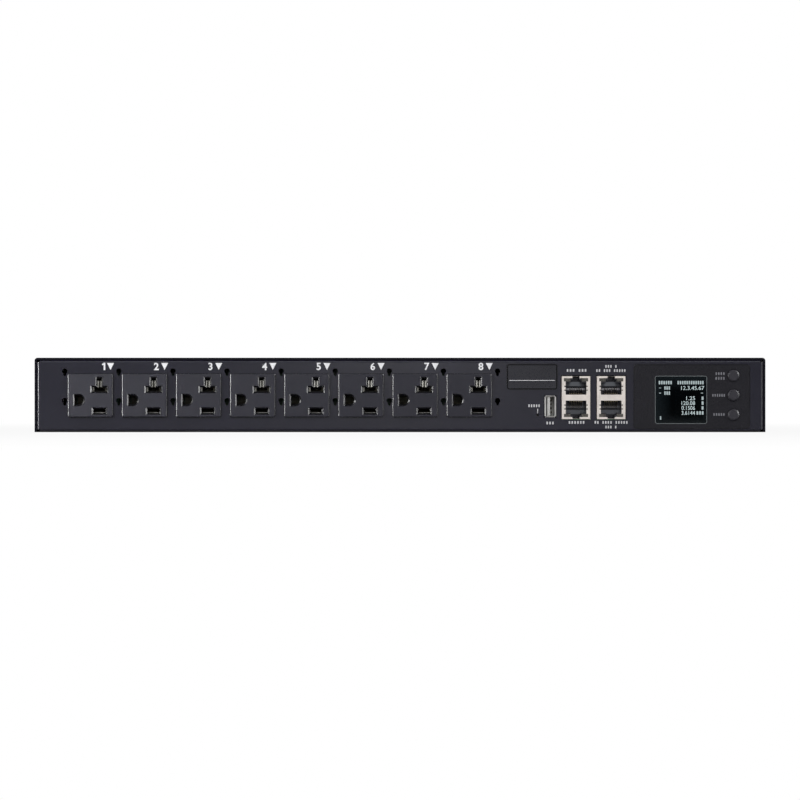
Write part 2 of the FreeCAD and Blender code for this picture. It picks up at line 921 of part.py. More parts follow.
def clip_half(grip):
    """Half of the height that a contact takes up in its cavity."""
    return grip + S.leaf_flare + S.leaf + S.clip_play


def clip_cavities(drawing):
    half = clip_half(S.blade_grip)
    left = S.blade_offset - S.neutral_clip_width / 2 - S.clip_play
    right = S.blade_offset + S.neutral_clip_width / 2 + S.clip_play
    outline(drawing, [
        (left, S.neutral_rise - half),
        (right, S.neutral_rise - half),
        (right, S.stem_rise),
        (left, S.stem_rise),
    ])
    rectangle(drawing, (S.blade_offset, S.line_clip_rise - S.line_drop), S.line_length, 2 * half)
    rectangle(drawing, (-S.ground_offset, -S.ground_drop), 2 * S.ground_radius,
              2 * clip_half(S.ground_grip))


def outlet_slots(drawing):
    half_bar, half_stem = S.neutral_length / 2, S.stem_width / 2
    low, high = S.neutral_rise - S.slot_width / 2, S.neutral_rise + S.slot_width / 2
    outline(drawing, [
        (S.blade_offset - half_bar, low),
        (S.blade_offset + half_bar, low),
        (S.blade_offset + half_bar, high),
        (S.blade_offset + half_stem, high),
        (S.blade_offset + half_stem, S.stem_rise),
        (S.blade_offset - half_stem, S.stem_rise),
        (S.blade_offset - half_stem, high),
        (S.blade_offset - half_bar, high),
    ])
    rectangle(drawing, (S.blade_offset, -S.line_drop), S.line_length, S.slot_width)
    arched_hole(drawing, (-S.ground_offset, -S.ground_drop), S.ground_radius, S.ground_flat)


def clip(body, grip, width):
    """A folded contact: two flared leaves, the back that joins them, and its tab."""
    span = CLIP_BACK - CLIP_FRONT
    throat, belly = CLIP_FRONT + S.throat_share * span, CLIP_FRONT + S.belly_share * span
    flared = grip + S.leaf_flare
    path = [(CLIP_FRONT, flared), (throat, grip), (belly, flared)]
    upper_out = [(y, z + S.leaf) for y, z in path]
    lower_out = [(y, -z) for y, z in reversed(upper_out)]
    upper_in = [(CLIP_BACK, flared)] + list(reversed(path))
    lower_in = [(y, -z) for y, z in reversed(upper_in)]
    rear = CLIP_BACK + S.leaf
    ends = [(rear, flared + S.leaf), (rear, -flared - S.leaf)]
    section = sketch(body, "YZ_Plane")
    outline(section, upper_out + ends + lower_out + lower_in + upper_in)
    pad(body, section, width, middle=True)
    tab = front_sketch(body, rear)
    rectangle(tab, (0, 0), S.tab_width, S.tab_thickness)
    pad(body, tab, OUTLET_BOARD_FACE + S.board + S.tab_end - rear, reverse=True)


def repeat_for_outlets(body):
    pattern(body, "X_Axis", S.outlet_pitch, S.outlet_count)


def line_contacts():
    body = new_body("line_contacts", outlet_place() + S.blade_offset, FRONT,
                    S.outlet_height - S.line_drop + S.line_clip_rise)
    clip(body, S.blade_grip, S.line_clip_width)
    repeat_for_outlets(body)


def ground_contacts():
    body = new_body("ground_contacts", outlet_place() - S.ground_offset, FRONT,
                    S.outlet_height - S.ground_drop)
    clip(body, S.ground_grip, S.ground_clip_width)
    repeat_for_outlets(body)


def neutral_contacts():
    body = new_body("neutral_contacts", outlet_place() + S.blade_offset, FRONT,
                    S.outlet_height + S.neutral_rise)
    clip(body, S.blade_grip, S.neutral_clip_width)
    stem_half = S.stem_leaf_inner + S.stem_leaf
    gap = sketch(body, "XY_Plane")
    outline(gap, [
        (-stem_half, CLIP_FRONT - S.leaf),
        (stem_half, CLIP_FRONT - S.leaf),
        (stem_half, CLIP_BACK),
        (-stem_half, CLIP_BACK),
    ])
    pocket(body, gap, clip_half(S.blade_grip), reverse=True)
    riser = front_sketch(body, CLIP_BACK + S.leaf)
    outline(riser, [
        (-stem_half, 0),
        (stem_half, 0),
        (stem_half, S.stem_leaf_rise),
        (-stem_half, S.stem_leaf_rise),
    ])
    pad(body, riser, S.leaf)
    leaves = front_sketch(body, CLIP_BACK)
    for side in (-1, 1):
        outline(leaves, [
            (side * S.stem_leaf_inner, S.stem_leaf_low),
            (side * stem_half, S.stem_leaf_low),
            (side * stem_half, S.stem_leaf_rise),
            (side * S.stem_leaf_inner, S.stem_leaf_rise),
        ])
    pad(body, leaves, CLIP_BACK - CLIP_FRONT)
    guides = front_sketch(body, CLIP_FRONT + S.guide_depth)
    rise = S.blade_grip + S.leaf_flare
    for side in (-1, 1):
        outer = side * S.neutral_clip_width / 2
        inner = outer - side * S.guide_width
        outline(guides, [(inner, -rise), (outer, -rise), (outer, rise), (inner, rise)])
    pad(body, guides, S.guide_depth)
    repeat_for_outlets(body)


def outlet_board():
    body = new_body("outlet_board", outlet_place(), FRONT)
    sheet = front_sketch(body, OUTLET_BOARD_FACE)
    span = S.outlet_pitch * (S.outlet_count - 1)
    low, high = FLOOR + S.outlet_board_clear, TRAY_TOP - S.gauge - S.outlet_board_clear
    outline(sheet, [
        (-S.outlet_board_margin, low),
        (span + S.outlet_board_margin, low),
        (span + S.outlet_board_margin, high),
        (-S.outlet_board_margin, high),
    ])
    pad(body, sheet, S.board, reverse=True)
    slits = front_sketch(body, OUTLET_BOARD_FACE)
    tabs = (
        (S.blade_offset, S.neutral_rise),
        (S.blade_offset, S.line_clip_rise - S.line_drop),
        (-S.ground_offset, -S.ground_drop),
    )
    for across, up in tabs:
        rectangle(slits, (across, S.outlet_height + up), S.tab_width + 2 * S.tab_play,
                  S.tab_thickness + 2 * S.tab_play)
    pattern(body, "X_Axis", S.outlet_pitch, S.outlet_count, pocket(body, slits, S.board))


def outlet_relays():
    rear = OUTLET_BOARD_FACE + S.board + S.tab_end + S.tab_play
    body = new_body("outlet_relays", outlet_place(), FRONT + rear, S.outlet_height)
    case = front_sketch(body)
    rectangle(case, (0, 0), S.relay_width, S.relay_height)
    pad(body, case, S.relay_depth, reverse=True)
    dress(body, "Fillet", S.relay_edge, lambda box: level(box.YMin, box.YMax, S.relay_depth))
    legs = front_sketch(body)
    for side in (-1, 1):
        rectangle(legs, (side * S.relay_leg_span / 2, S.relay_leg_rise), S.tab_thickness, S.tab_thickness)
    pad(body, legs, S.tab_end + S.tab_play)
    repeat_for_outlets(body)


# Name plate and display

def name_plate():
    body = new_body("name_plate", S.plate_across, FRONT + S.recess, S.plate_up)
    sheet = front_sketch(body)
    rectangle(sheet, (0, 0), S.plate_width, S.plate_height, S.plate_corner)
    pad(body, sheet, S.film)


def display_overlay():
    body = new_body("display_overlay", 0, FRONT + S.recess)
    film = front_sketch(body)
    rectangle(film, (S.display_across, S.display_up), S.display_width, S.display_height, S.display_corner)
    rectangle(film, (S.window_across, S.window_up), S.window_width + 2 * S.window_gap,
              S.window_height + 2 * S.window_gap, S.window_corner + S.window_gap)
    for up in button_places():
        circle(film, (S.button_across, up), S.button_radius + S.button_play)
    pad(body, film, S.film)


def display_window():
    body = new_body("display_window", S.window_across, FRONT + S.recess, S.window_up)
    lens = front_sketch(body)
    rectangle(lens, (0, 0), S.window_width, S.window_height, S.window_corner)
    pad(body, lens, S.film)


def display_module():
    """The framed display, its glass set a little behind the frame."""
    body = new_body("display_module", S.window_across, FRONT + S.gauge + S.module_gap, S.window_up)
    frame = front_sketch(body)
    rectangle(frame, (0, 0), S.window_width + S.module_rim, S.window_height + S.module_rim)
    pad(body, frame, S.module_depth, reverse=True)
    seat = front_sketch(body)
    rectangle(seat, (0, 0), S.window_width - S.module_rim, S.window_height - S.module_rim)
    pocket(body, seat, S.glass_depth)


def display_corners():
    """X and Z of the four fixing points of the display board."""
    left = S.display_across - S.display_width / 2 + S.board_hole_inset
    window_edge = S.window_across + S.window_width / 2
    button_edge = S.button_across - S.button_radius
    rise = S.display_height / 2 - S.board_hole_inset
    spots = []
    for across in (left, (window_edge + button_edge) / 2):
        for up in (-1, 1):
            spots.append((across, S.display_up + up * rise))
    return spots


def display_board():
    body = new_body("display_board", 0, FRONT)
    sheet = front_sketch(body, DISPLAY_BOARD_FACE)
    rectangle(sheet, (S.display_across, S.display_up), S.display_width - S.board_inset,
              S.display_height - S.board_inset)
    for spot in display_corners():
        circle(sheet, spot, S.screw_radius + S.screw_play)
    pad(body, sheet, S.board, reverse=True)


def hollow_post(start, axis, length):
    """A round spacer with a bore for its screw."""
    return cut(rod(start, axis, S.standoff_radius, length),
               rod(start, axis, S.screw_radius + S.screw_play, length))


def pan_screw(seat, axis, opposite, shank):
    """A screw whose head sits on a face and whose shank runs down into it."""
    head = rod(seat, axis, S.screw_head, S.screw_head_height)
    return fuse(head, rod(seat, opposite, S.screw_radius, shank))


def turned_button(label, up):
    body = new_body(label, S.button_across, FRONT, up)
    face = -S.button_proud
    rim = S.gauge + S.button_play
    flange = S.button_radius + S.button_flange
    half = sketch(body, "XY_Plane")
    outline(half, [
        (0, face),
        (S.button_radius - S.button_bevel, face),
        (S.button_radius, face + S.button_bevel),
        (S.button_radius, rim),
        (flange, rim),
        (flange, BUTTON_BACK),
        (S.button_stem, BUTTON_BACK),
        (S.button_stem, PLUNGER_FRONT),
        (0, PLUNGER_FRONT),
    ])
    revolve(body, half, "Y_Axis")


def key_plunger(label, up):
    spot = (S.button_across, FRONT + PLUNGER_FRONT, up)
    publish(rod(spot, "Y", S.plunger_radius, S.plunger_reach + S.plunger_buried), label)


def key_switches():
    made = []
    half = S.switch_side / 2
    y = (FRONT + SWITCH_FRONT, FRONT + DISPLAY_BOARD_FACE)
    depth = S.plunger_buried + S.button_travel + S.plunger_play
    for up in button_places():
        body = block((S.button_across - half, S.button_across + half), y, (up - half, up + half))
        well = rod((S.button_across, y[0], up), "Y", S.plunger_radius + S.plunger_play, depth)
        made.append(cut(body, well))
    group("key_switches", made)


# Reset switch, USB socket and jacks

def reset_plunger():
    spot = (S.reset_across, FRONT + S.gauge + S.reset_setback, S.reset_up)
    length = S.reset_reach + S.plunger_buried
    publish(rod(spot, "Y", S.reset_radius, length), "reset_plunger")


def reset_switch():
    near = FRONT + S.gauge + S.reset_setback + S.reset_reach
    half = S.reset_switch_width / 2
    case = block((S.reset_across - half, S.reset_across + half), (near, near + S.reset_switch_depth),
                 (BOARD_TOP, 2 * S.reset_up - BOARD_TOP))
    depth = S.plunger_buried + S.reset_travel + S.plunger_play
    well = rod((S.reset_across, near, S.reset_up), "Y", S.reset_radius + S.plunger_play, depth)
    publish(cut(case, well), "reset_switch")


def usb_shell():
    body = new_body("usb_shell", S.usb_across, FRONT, S.usb_up)
    tube = front_sketch(body, -S.usb_proud)
    rectangle(tube, (0, 0), S.usb_width, S.usb_height, S.usb_corner)
    rectangle(tube, (0, 0), S.usb_width - 2 * S.usb_sheet, S.usb_height - 2 * S.usb_sheet,
              S.usb_corner - S.usb_sheet)
    pad(body, tube, S.usb_depth, reverse=True)
    lips = front_sketch(body, -S.usb_proud)
    rise = S.usb_height / 2 - S.usb_corner
    for side in (-1, 1):
        edge = side * S.usb_width / 2
        outline(lips, [
            (edge, -rise),
            (edge + side * S.usb_lip, -rise),
            (edge + side * S.usb_lip, rise),
            (edge, rise),
        ])
    pad(body, lips, S.usb_lip_depth, reverse=True)
    legs = sketch(body, "XZ_Plane", -S.usb_depth / 2)
    for side in (-1, 1):
        outer = side * S.usb_width / 2
        inner = outer - side * S.usb_sheet
        top = -S.usb_height / 2 + 2 * S.usb_corner
        foot = BOARD_TOP - S.usb_up
        outline(legs, [(outer, top), (outer, foot), (inner, foot), (inner, top)])
    pad(body, legs, S.usb_leg_length, middle=True)


def usb_tongue():
    body = new_body("usb_tongue", S.usb_across, FRONT, S.usb_up)
    inside = S.insert_play + S.usb_sheet
    root = front_sketch(body, S.usb_depth - S.usb_proud)
    rectangle(root, (0, 0), S.usb_width - 2 * inside, S.usb_height - 2 * inside)
    pad(body, root, S.tongue_root)
    blade = front_sketch(body, S.usb_depth - S.usb_proud)
    rectangle(blade, (-S.tongue_offset, 0), S.tongue_thickness, S.tongue_height)
    pad(body, blade, S.usb_depth - S.tongue_setback)


def usb_contacts():
    """Sprung strips that bow out from the tongue between their tips and their seats."""
    face = -S.tongue_offset + S.tongue_thickness / 2
    lowest = S.usb_up - S.pin_pitch * (S.pin_count - 1) / 2
    body = new_body("usb_contacts", S.usb_across + face, FRONT, lowest)
    tip = S.tongue_setback
    end = tip + S.pin_length
    strip = sketch(body, "XY_Plane")
    outline(strip, [
        (0, tip),
        (S.pin_bow, tip + S.pin_crest),
        (0, end - S.pin_seat),
        (0, end),
        (S.pin_thickness, end),
        (S.pin_thickness, end - S.pin_seat),
        (S.pin_bow + S.pin_thickness, tip + S.pin_crest),
        (S.pin_thickness, tip),
    ])
    pad(body, strip, S.pin_width, middle=True)
    pattern(body, "Z_Axis", S.pin_pitch, S.pin_count)


def port_outline(half_port, near, far, half_lamp, lamp_far, half_notch, top, sign):
    """One port of a stacked jack, seen from the front, upper (1) or lower (-1)."""
    corners = [
        (-half_port, near),
        (half_port, near),
        (half_port, far),
        (half_lamp, far),
        (half_lamp, lamp_far),
        (half_notch, lamp_far),
        (half_notch, top),
        (-half_notch, top),
        (-half_notch, lamp_far),
        (-half_lamp, lamp_far),
        (-half_lamp, far),
        (-half_port, far),
    ]
    return [(x, sign * as_size(y)) for x, y in corners]


def jack_shield(label, across):
    body = new_body(label, across, FRONT, S.jack_up)
    box = front_sketch(body, -S.jack_proud)
    rectangle(box, (0, 0), S.jack_width, S.jack_height)
    pad(body, box, S.jack_depth, reverse=True)
    hollow = front_sketch(body, S.jack_depth - S.jack_proud)
    rectangle(hollow, (0, 0), S.jack_width - 2 * S.jack_sheet, S.jack_height - 2 * S.jack_sheet)
    pocket(body, hollow, S.jack_depth - S.jack_sheet, reverse=True)
    mouths = front_sketch(body, -S.jack_proud)
    for sign in (-1, 1):
        outline(mouths, port_outline(S.port_width / 2, S.port_near, S.port_far, S.lamp_width / 2,
                                     S.lamp_far, S.notch_width / 2, S.jack_height / 2, sign))
    pocket(body, mouths, S.jack_sheet)
    fingers = front_sketch(body, -S.jack_proud)
    for side in (-1, 1):
        edge = side * S.port_width / 2
        for up in (-S.finger_high, -S.finger_low, S.finger_low, S.finger_high):
            rectangle(fingers, (edge, up), 2 * S.finger_reach, S.finger_gap)
    pocket(body, fingers, S.jack_sheet)
    notches = front_sketch(body, -S.jack_proud)
    for sign in (-1, 1):
        inner = sign * (S.jack_height / 2 - S.jack_sheet)
        outer = sign * S.jack_height / 2
        outline(notches, [
            (-S.notch_width / 2, inner),
            (S.notch_width / 2, inner),
            (S.notch_width / 2, outer),
            (-S.notch_width / 2, outer),
        ])
    pocket(body, notches, S.notch_width)


def jack_insert(label, across):
    body = new_body(label, across, FRONT, S.jack_up)
    inside = S.jack_sheet + S.insert_play
    start = inside - S.jack_proud
    solid = front_sketch(body, start)
    rectangle(solid, (0, 0), S.jack_width - 2 * inside, S.jack_height - 2 * inside)
    pad(body, solid, S.jack_depth - S.jack_sheet - inside, reverse=True)
    cavities = front_sketch(body, start)
    half = S.port_width / 2 - S.cavity_play
    slot_top = S.jack_height / 2 - inside
    for sign in (-1, 1):
        outline(cavities, port_outline(half, S.port_near + S.cavity_play, S.cavity_far,
                                       S.latch_step_width / 2, S.latch_step_far,
                                       S.notch_width / 2 - S.cavity_play, slot_top, sign))
    pocket(body, cavities, S.cavity_depth)
    combs = front_sketch(body, start + S.cavity_depth)
    for sign in (-1, 1):
        rectangle(combs, (0, sign * (S.comb_low + S.comb_height / 2)), 2 * half, S.comb_height)
    pad(body, combs, start + S.cavity_depth - S.wire_front - S.wire_run - S.comb_gap)
    lamps = front_sketch(body, start)
    lamp_windows(lamps, S.lamp_play)
    pocket(body, lamps, S.lamp_depth)


def lamp_windows(drawing, play):
    """The four corner windows of a jack, two beside each latch."""
    outer = S.lamp_width / 2 + play
    inner = S.lamp_inner - play
    low, high = S.port_far - play, S.lamp_far + play
    for side in (-1, 1):
        for sign in (-1, 1):
            outline(drawing, [
                (side * inner, sign * low),
                (side * outer, sign * low),
                (side * outer, sign * high),
                (side * inner, sign * high),
            ])


def jack_light_pipes():
    body = new_body("jack_light_pipes", S.jack_across, FRONT, S.jack_up)
    start = S.jack_sheet + S.insert_play - S.jack_proud
    windows = front_sketch(body, start)
    lamp_windows(windows, 0)
    pad(body, windows, S.lamp_depth - S.lamp_play, reverse=True)
    pattern(body, "X_Axis", S.jack_pitch, S.jack_count)


def jack_contacts(label, across):
    """Eight sprung wires for each port, rising from its inner wall."""
    body = new_body(label, across, FRONT, S.jack_up)
    floor = S.port_near + S.cavity_play + S.insert_play
    start, end = S.wire_front, S.wire_front + S.wire_run
    section = sketch(body, "YZ_Plane", -S.wire_pitch * (S.wire_count - 1) / 2)
    outline(section, [
        (start, floor),
        (end, floor + S.wire_rise),
        (end, floor + S.wire_rise + S.wire_size),
        (start, floor + S.wire_size),
    ])
    pad(body, section, S.wire_size, middle=True)
    pattern(body, "X_Axis", S.wire_pitch, S.wire_count)
    mirror(body, "XY_Plane")


# Boards inside the case

def control_corners():
    near = FRONT + S.gauge + S.board_inset
    spots = []
    for x in (S.control_left + S.board_hole_inset, S.control_right - S.board_hole_inset):
        for y in (near + S.control_hole_depth, near + S.control_depth - S.board_hole_inset):
            spots.append((x, y))
    return spots


def supply_corners():
    spots = []
    for side in (-1, 1):
        for end in (-1, 1):
            x = S.supply_across + side * (S.supply_width / 2 - S.board_hole_inset)
            spots.append((x, S.supply_back + end * (S.supply_depth / 2 - S.board_hole_inset)))
    return spots


def drilled_board(label, centre, width, depth, holes):
    body = new_body(label, 0, 0, BOARD_UNDER)
    sheet = sketch(body, "XY_Plane")
    rectangle(sheet, centre, width, depth)
    for spot in holes:
        circle(sheet, spot, S.screw_radius + S.screw_play)
    pad(body, sheet, S.board)


def boards():
    middle = (S.control_left + S.control_right) / 2
    near = FRONT + S.gauge + S.board_inset
    drilled_board("control_board", (middle, near + S.control_depth / 2),
                  S.control_right - S.control_left, S.control_depth, control_corners())
    drilled_board("supply_board", (S.supply_across, S.supply_back),
                  S.supply_width, S.supply_depth, supply_corners())


def board_standoffs():
    made = []
    for x, y in control_corners() + supply_corners():
        made.append(hollow_post((x, y, FLOOR), "Z", BOARD_UNDER - FLOOR))
    for x, z in display_corners():
        made.append(hollow_post((x, FRONT + S.gauge, z), "Y", DISPLAY_BOARD_FACE - S.gauge))
    group("board_standoffs", made)


def board_screws():
    made = []
    for x, y in control_corners() + supply_corners():
        head = rod((x, y, BOARD_TOP), "Z", S.screw_head, S.screw_head_height)
        shank = rod((x, y, BOARD_TOP - S.screw_length + S.gauge), "Z", S.screw_radius,
                    S.screw_length - S.gauge)
        made.append(fuse(head, shank))
    rear = FRONT + DISPLAY_BOARD_FACE + S.board
    for x, z in display_corners():
        made.append(pan_screw((x, rear, z), "Y", "-Y", S.screw_length - S.gauge))
    group("board_screws", made)


def supply_transformer():
    """A wound bobbin inside a closed core."""
    left = S.supply_across - S.supply_width / 4
    half_width, half_depth = S.transformer_width / 2, S.transformer_depth / 2
    x = (left - half_width, left + half_width)
    y = (S.supply_back - half_depth, S.supply_back + half_depth)
    winding = block(x, y, (BOARD_TOP, BOARD_TOP + S.transformer_height))
    reach = S.core_thickness
    core = block((x[0] - reach, x[1] + reach),
                 (S.supply_back - reach, S.supply_back + reach),
                 (BOARD_TOP + reach / 2, BOARD_TOP + S.transformer_height - reach / 2))
    publish(fuse(winding, core), "supply_transformer")


def supply_capacitors():
    made = []
    across = S.supply_across + S.supply_width / 4
    for step in (-1, 1):
        spot = (across, S.supply_back + step * S.capacitor_pitch / 2, BOARD_TOP)
        made.append(rod(spot, "Z", S.capacitor_radius, S.capacitor_height))
    group("supply_capacitors", made)


# Rear panel pieces

def inlet_blade_places():
    return [
        (-S.live_span / 2, -S.live_drop),
        (S.live_span / 2, -S.live_drop),
        (0, S.earth_rise),
    ]


def inlet_housing():
    body = new_body("inlet_housing", S.inlet_across, BACK, S.inlet_up)
    flange = front_sketch(body)
    rectangle(flange, (0, 0), S.inlet_flange_width, S.inlet_flange_height, S.inlet_corner)
    for side in (-1, 1):
        circle(flange, (side * S.inlet_screw_span / 2, 0), S.screw_radius + S.screw_play)
    pad(body, flange, S.inlet_flange, reverse=True)
    trunk = front_sketch(body)
    rectangle(trunk, (0, 0), S.inlet_width, S.inlet_height, S.inlet_corner)
    pad(body, trunk, S.inlet_depth)
    mouth = front_sketch(body, S.inlet_flange)
    rectangle(mouth, (0, 0), S.mouth_width, S.mouth_height, S.mouth_corner)
    pocket(body, mouth, S.mouth_depth, reverse=True)
    slits = front_sketch(body, S.inlet_flange)
    for spot in inlet_blade_places():
        rectangle(slits, spot, S.blade_width + 2 * S.blade_play, S.blade_thickness + 2 * S.blade_play)
    pocket(body, slits, reverse=True)


def inlet_pins():
    made = []
    tip = BACK + S.inlet_flange - S.blade_tip
    tail = BACK - S.inlet_depth - S.blade_tail
    for across, up in inlet_blade_places():
        x, z = S.inlet_across + across, S.inlet_up + up
        made.append(block((x - S.blade_width / 2, x + S.blade_width / 2), (tail, tip),
                          (z - S.blade_thickness / 2, z + S.blade_thickness / 2)))
    group("inlet_pins", made)


def inlet_screws():
    made = []
    for side in (-1, 1):
        seat = (S.inlet_across + side * S.inlet_screw_span / 2, BACK + S.inlet_flange, S.inlet_up)
        made.append(pan_screw(seat, "Y", "-Y", S.screw_length + S.inlet_flange))
    group("inlet_screws", made)


def breaker_terminals():
    """Heights of the two terminals on the breaker's inner end."""
    return [S.breaker_up - S.terminal_size, S.breaker_up + S.terminal_size]


def breaker_body():
    inner = BACK - S.gauge
    half = S.breaker_width / 2
    case = block((S.breaker_across - half, S.breaker_across + half), (inner - S.breaker_depth, inner),
                 (S.breaker_up - S.breaker_height / 2, S.breaker_up + S.breaker_height / 2))
    spot = (S.breaker_across, inner, S.breaker_up)
    bush = rod(spot, "Y", S.bush_radius, S.gauge + S.bush_length)
    shapes = [case, bush]
    end = inner - S.breaker_depth
    x = S.breaker_across
    for up in breaker_terminals():
        shapes.append(block((x - S.terminal_size / 2, x + S.terminal_size / 2),
                            (end - S.terminal_length, end),
                            (up - S.terminal_thickness / 2, up + S.terminal_thickness / 2)))
    well_start = (S.breaker_across, BACK + S.bush_length - S.breaker_button_buried, S.breaker_up)
    well = rod(well_start, "Y", S.breaker_button_radius + S.breaker_button_play, S.breaker_button_buried)
    publish(cut(fuse(*shapes), well), "breaker_body")


def breaker_nut():
    spot = (S.breaker_across, BACK, S.breaker_up)
    ring = hexagon(spot, "Y", S.breaker_nut_corner, S.breaker_nut_height)
    hole = rod(spot, "Y", S.bush_radius + S.bush_play, S.breaker_nut_height)
    publish(cut(ring, hole), "breaker_nut")


def breaker_button():
    body = new_body("breaker_button", S.breaker_across, BACK, S.breaker_up)
    buried = S.bush_length - S.breaker_button_buried + S.breaker_button_play
    half = sketch(body, "XY_Plane")
    outline(half, [
        (0, buried),
        (S.breaker_button_radius, buried),
        (S.breaker_button_radius, S.breaker_button_proud - S.button_bevel),
        (S.breaker_button_radius - S.button_bevel, S.breaker_button_proud),
        (0, S.breaker_button_proud),
    ])
    revolve(body, half, "Y_Axis")


def ground_screw():
    spot = (S.stud_across, BACK, STUD_UP)
    head = rod(spot, "Y", S.stud_head, S.stud_head_height)
    publish(fuse(head, rod(spot, "-Y", S.stud_radius, S.stud_length)), "ground_screw")


def ground_nut():
    spot = (S.stud_across, BACK - S.gauge, STUD_UP)
    ring = hexagon(spot, "-Y", S.stud_nut_corner, S.stud_nut_height)
    hole = rod(spot, "-Y", S.stud_radius + S.stud_play / 2, S.stud_nut_height)
    publish(cut(ring, hole), "ground_nut")


# Inner wires, made of straight runs joined by arcs

def rounded_path(points, radius):
    edges = []
    last = points[0]
    for before, corner, after in zip(points, points[1:], points[2:]):
        back_way = (before - corner).normalize()
        next_way = (after - corner).normalize()
        half_turn = back_way.getAngle(next_way) / 2
        trim = radius / math.tan(half_turn)
        enter, leave = corner + back_way * trim, corner + next_way * trim
        to_centre = (back_way + next_way).normalize()
        middle = corner + to_centre * (radius / math.sin(half_turn) - radius)
        edges.append(Part.LineSegment(last, enter).toShape())
        edges.append(Part.Arc(enter, middle, leave).toShape())
        last = leave
    edges.append(Part.LineSegment(last, points[-1]).toShape())
    return Part.Wire(edges)


def wire(label, route):
    points = [FreeCAD.Vector(*[as_size(value).value for value in point]) for point in route]
    path = rounded_path(points, S.wire_bend.value)
    start_way = (points[1] - points[0]).normalize()
    ring = Part.Wire([Part.makeCircle(S.wire_radius.value, points[0], start_way)])
    tube = path.makePipeShell([ring], True, False)
    strand = doc.addObject("Part::Feature", label)
    strand.Shape = tube
    publish(strand, label)


def between_outlets(index):
    """X of the gap after the outlet with the given number."""
    return outlet_place(index - 1) + S.outlet_pitch / 2


def wires():
    pin_end = BACK - S.inlet_depth - S.blade_tail - S.wire_seat
    terminal_end = BACK - S.gauge - S.breaker_depth - S.terminal_length - S.wire_seat
    board_rear = FRONT + OUTLET_BOARD_FACE + S.board + S.wire_seat
    run = 2 * S.wire_bend
    neutral, live, earth = [(S.inlet_across + x, S.inlet_up + z) for x, z in inlet_blade_places()]
    low, high = breaker_terminals()
    breaker = S.breaker_across
    wire("line_wire", [
        (live[0], pin_end, live[1]),
        (live[0], terminal_end - run, live[1]),
        (breaker, terminal_end - run, low),
        (breaker, terminal_end, low),
    ])
    first, second = between_outlets(1), between_outlets(2)
    wire("feed_wire", [
        (breaker, terminal_end, high),
        (breaker, terminal_end - run, high),
        (second, terminal_end - 2 * run, high),
        (second, board_rear, high),
    ])
    wire("neutral_wire", [
        (neutral[0], pin_end, neutral[1]),
        (neutral[0], pin_end - run, neutral[1]),
        (first, pin_end - 2 * run, neutral[1]),
        (first, board_rear, neutral[1]),
    ])
    stud_end = BACK - S.stud_length - S.wire_seat
    wire("ground_wire", [
        (earth[0], pin_end, earth[1]),
        (earth[0], pin_end - run, earth[1]),
        (S.stud_across, pin_end - run, STUD_UP),
        (S.stud_across, stud_end, STUD_UP),
    ])


# Build every sub-part

chassis_tray()
top_cover()
cover_screws()
bracket_nuts()
for outlet_number in range(1, S.outlet_count.value + 1):
    outlet(outlet_number)
neutral_contacts()
line_contacts()
ground_contacts()
outlet_board()
outlet_relays()
name_plate()
display_overlay()
display_window()
display_module()
display_board()
for button_name, button_height in zip(("menu", "select", "enter"), button_places()):
    turned_button(f"{button_name}_button", button_height)
    key_plunger(f"{button_name}_plunger", button_height)
key_switches()
reset_plunger()
reset_switch()
usb_shell()
usb_tongue()
usb_contacts()
for jack_name, jack_place in (("serial", S.jack_across), ("network", S.jack_across + S.jack_pitch)):
    jack_shield(f"{jack_name}_jack_shield", jack_place)
    jack_insert(f"{jack_name}_jack_insert", jack_place)
    jack_contacts(f"{jack_name}_jack_contacts", jack_place)
jack_light_pipes()
boards()
board_standoffs()
board_screws()
supply_transformer()
supply_capacitors()
inlet_housing()
inlet_pins()
inlet_screws()
breaker_body()
breaker_nut()
breaker_button()
ground_screw()
ground_nut()
wires()
doc.recompute()

# Check every object, then write each sub-part
faults = [item.Name for item in doc.Objects if {"Invalid", "Error"} & set(item.State)]
faults += [item.Label for item in sub_parts if item.Shape.isNull() or not item.Shape.isValid()]
if faults:
    raise RuntimeError("failed objects: " + ", ".join(faults))
os.makedirs("parts", exist_ok=True)
for item in sub_parts:
    item.Shape.exportStep(f"parts/{item.Label}.step")
print(len(sub_parts), "sub-parts written")
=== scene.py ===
"""Looks of the rack power unit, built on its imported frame. Lengths are in metres."""
import math

import bmesh
import bpy
from mathutils import Matrix, Vector


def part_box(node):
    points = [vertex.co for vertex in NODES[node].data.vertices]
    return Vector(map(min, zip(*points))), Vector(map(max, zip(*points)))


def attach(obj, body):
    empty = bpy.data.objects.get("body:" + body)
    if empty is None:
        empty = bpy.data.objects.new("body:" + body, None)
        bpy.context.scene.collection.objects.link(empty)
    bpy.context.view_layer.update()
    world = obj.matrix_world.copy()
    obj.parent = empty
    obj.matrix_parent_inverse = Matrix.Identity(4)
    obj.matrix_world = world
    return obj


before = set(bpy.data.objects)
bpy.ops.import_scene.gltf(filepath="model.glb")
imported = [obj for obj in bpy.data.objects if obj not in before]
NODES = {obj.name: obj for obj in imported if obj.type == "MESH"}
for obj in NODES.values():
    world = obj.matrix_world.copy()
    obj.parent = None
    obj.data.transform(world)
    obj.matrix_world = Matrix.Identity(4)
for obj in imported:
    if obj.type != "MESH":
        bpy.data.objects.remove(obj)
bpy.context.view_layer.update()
MM = 0.001

# Places read from the frame
PANEL_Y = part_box("chassis_tray")[0].y
OVERLAY_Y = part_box("display_overlay")[0].y
LENS_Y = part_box("display_window")[0].y
CASE_LOW, CASE_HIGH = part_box("top_cover")
OUTLETS = [f"outlet_{number}" for number in range(1, 9)]
OUTLET_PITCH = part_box("outlet_2")[0].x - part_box("outlet_1")[0].x
JACK_INSERTS = ["serial_jack_insert", "network_jack_insert"]

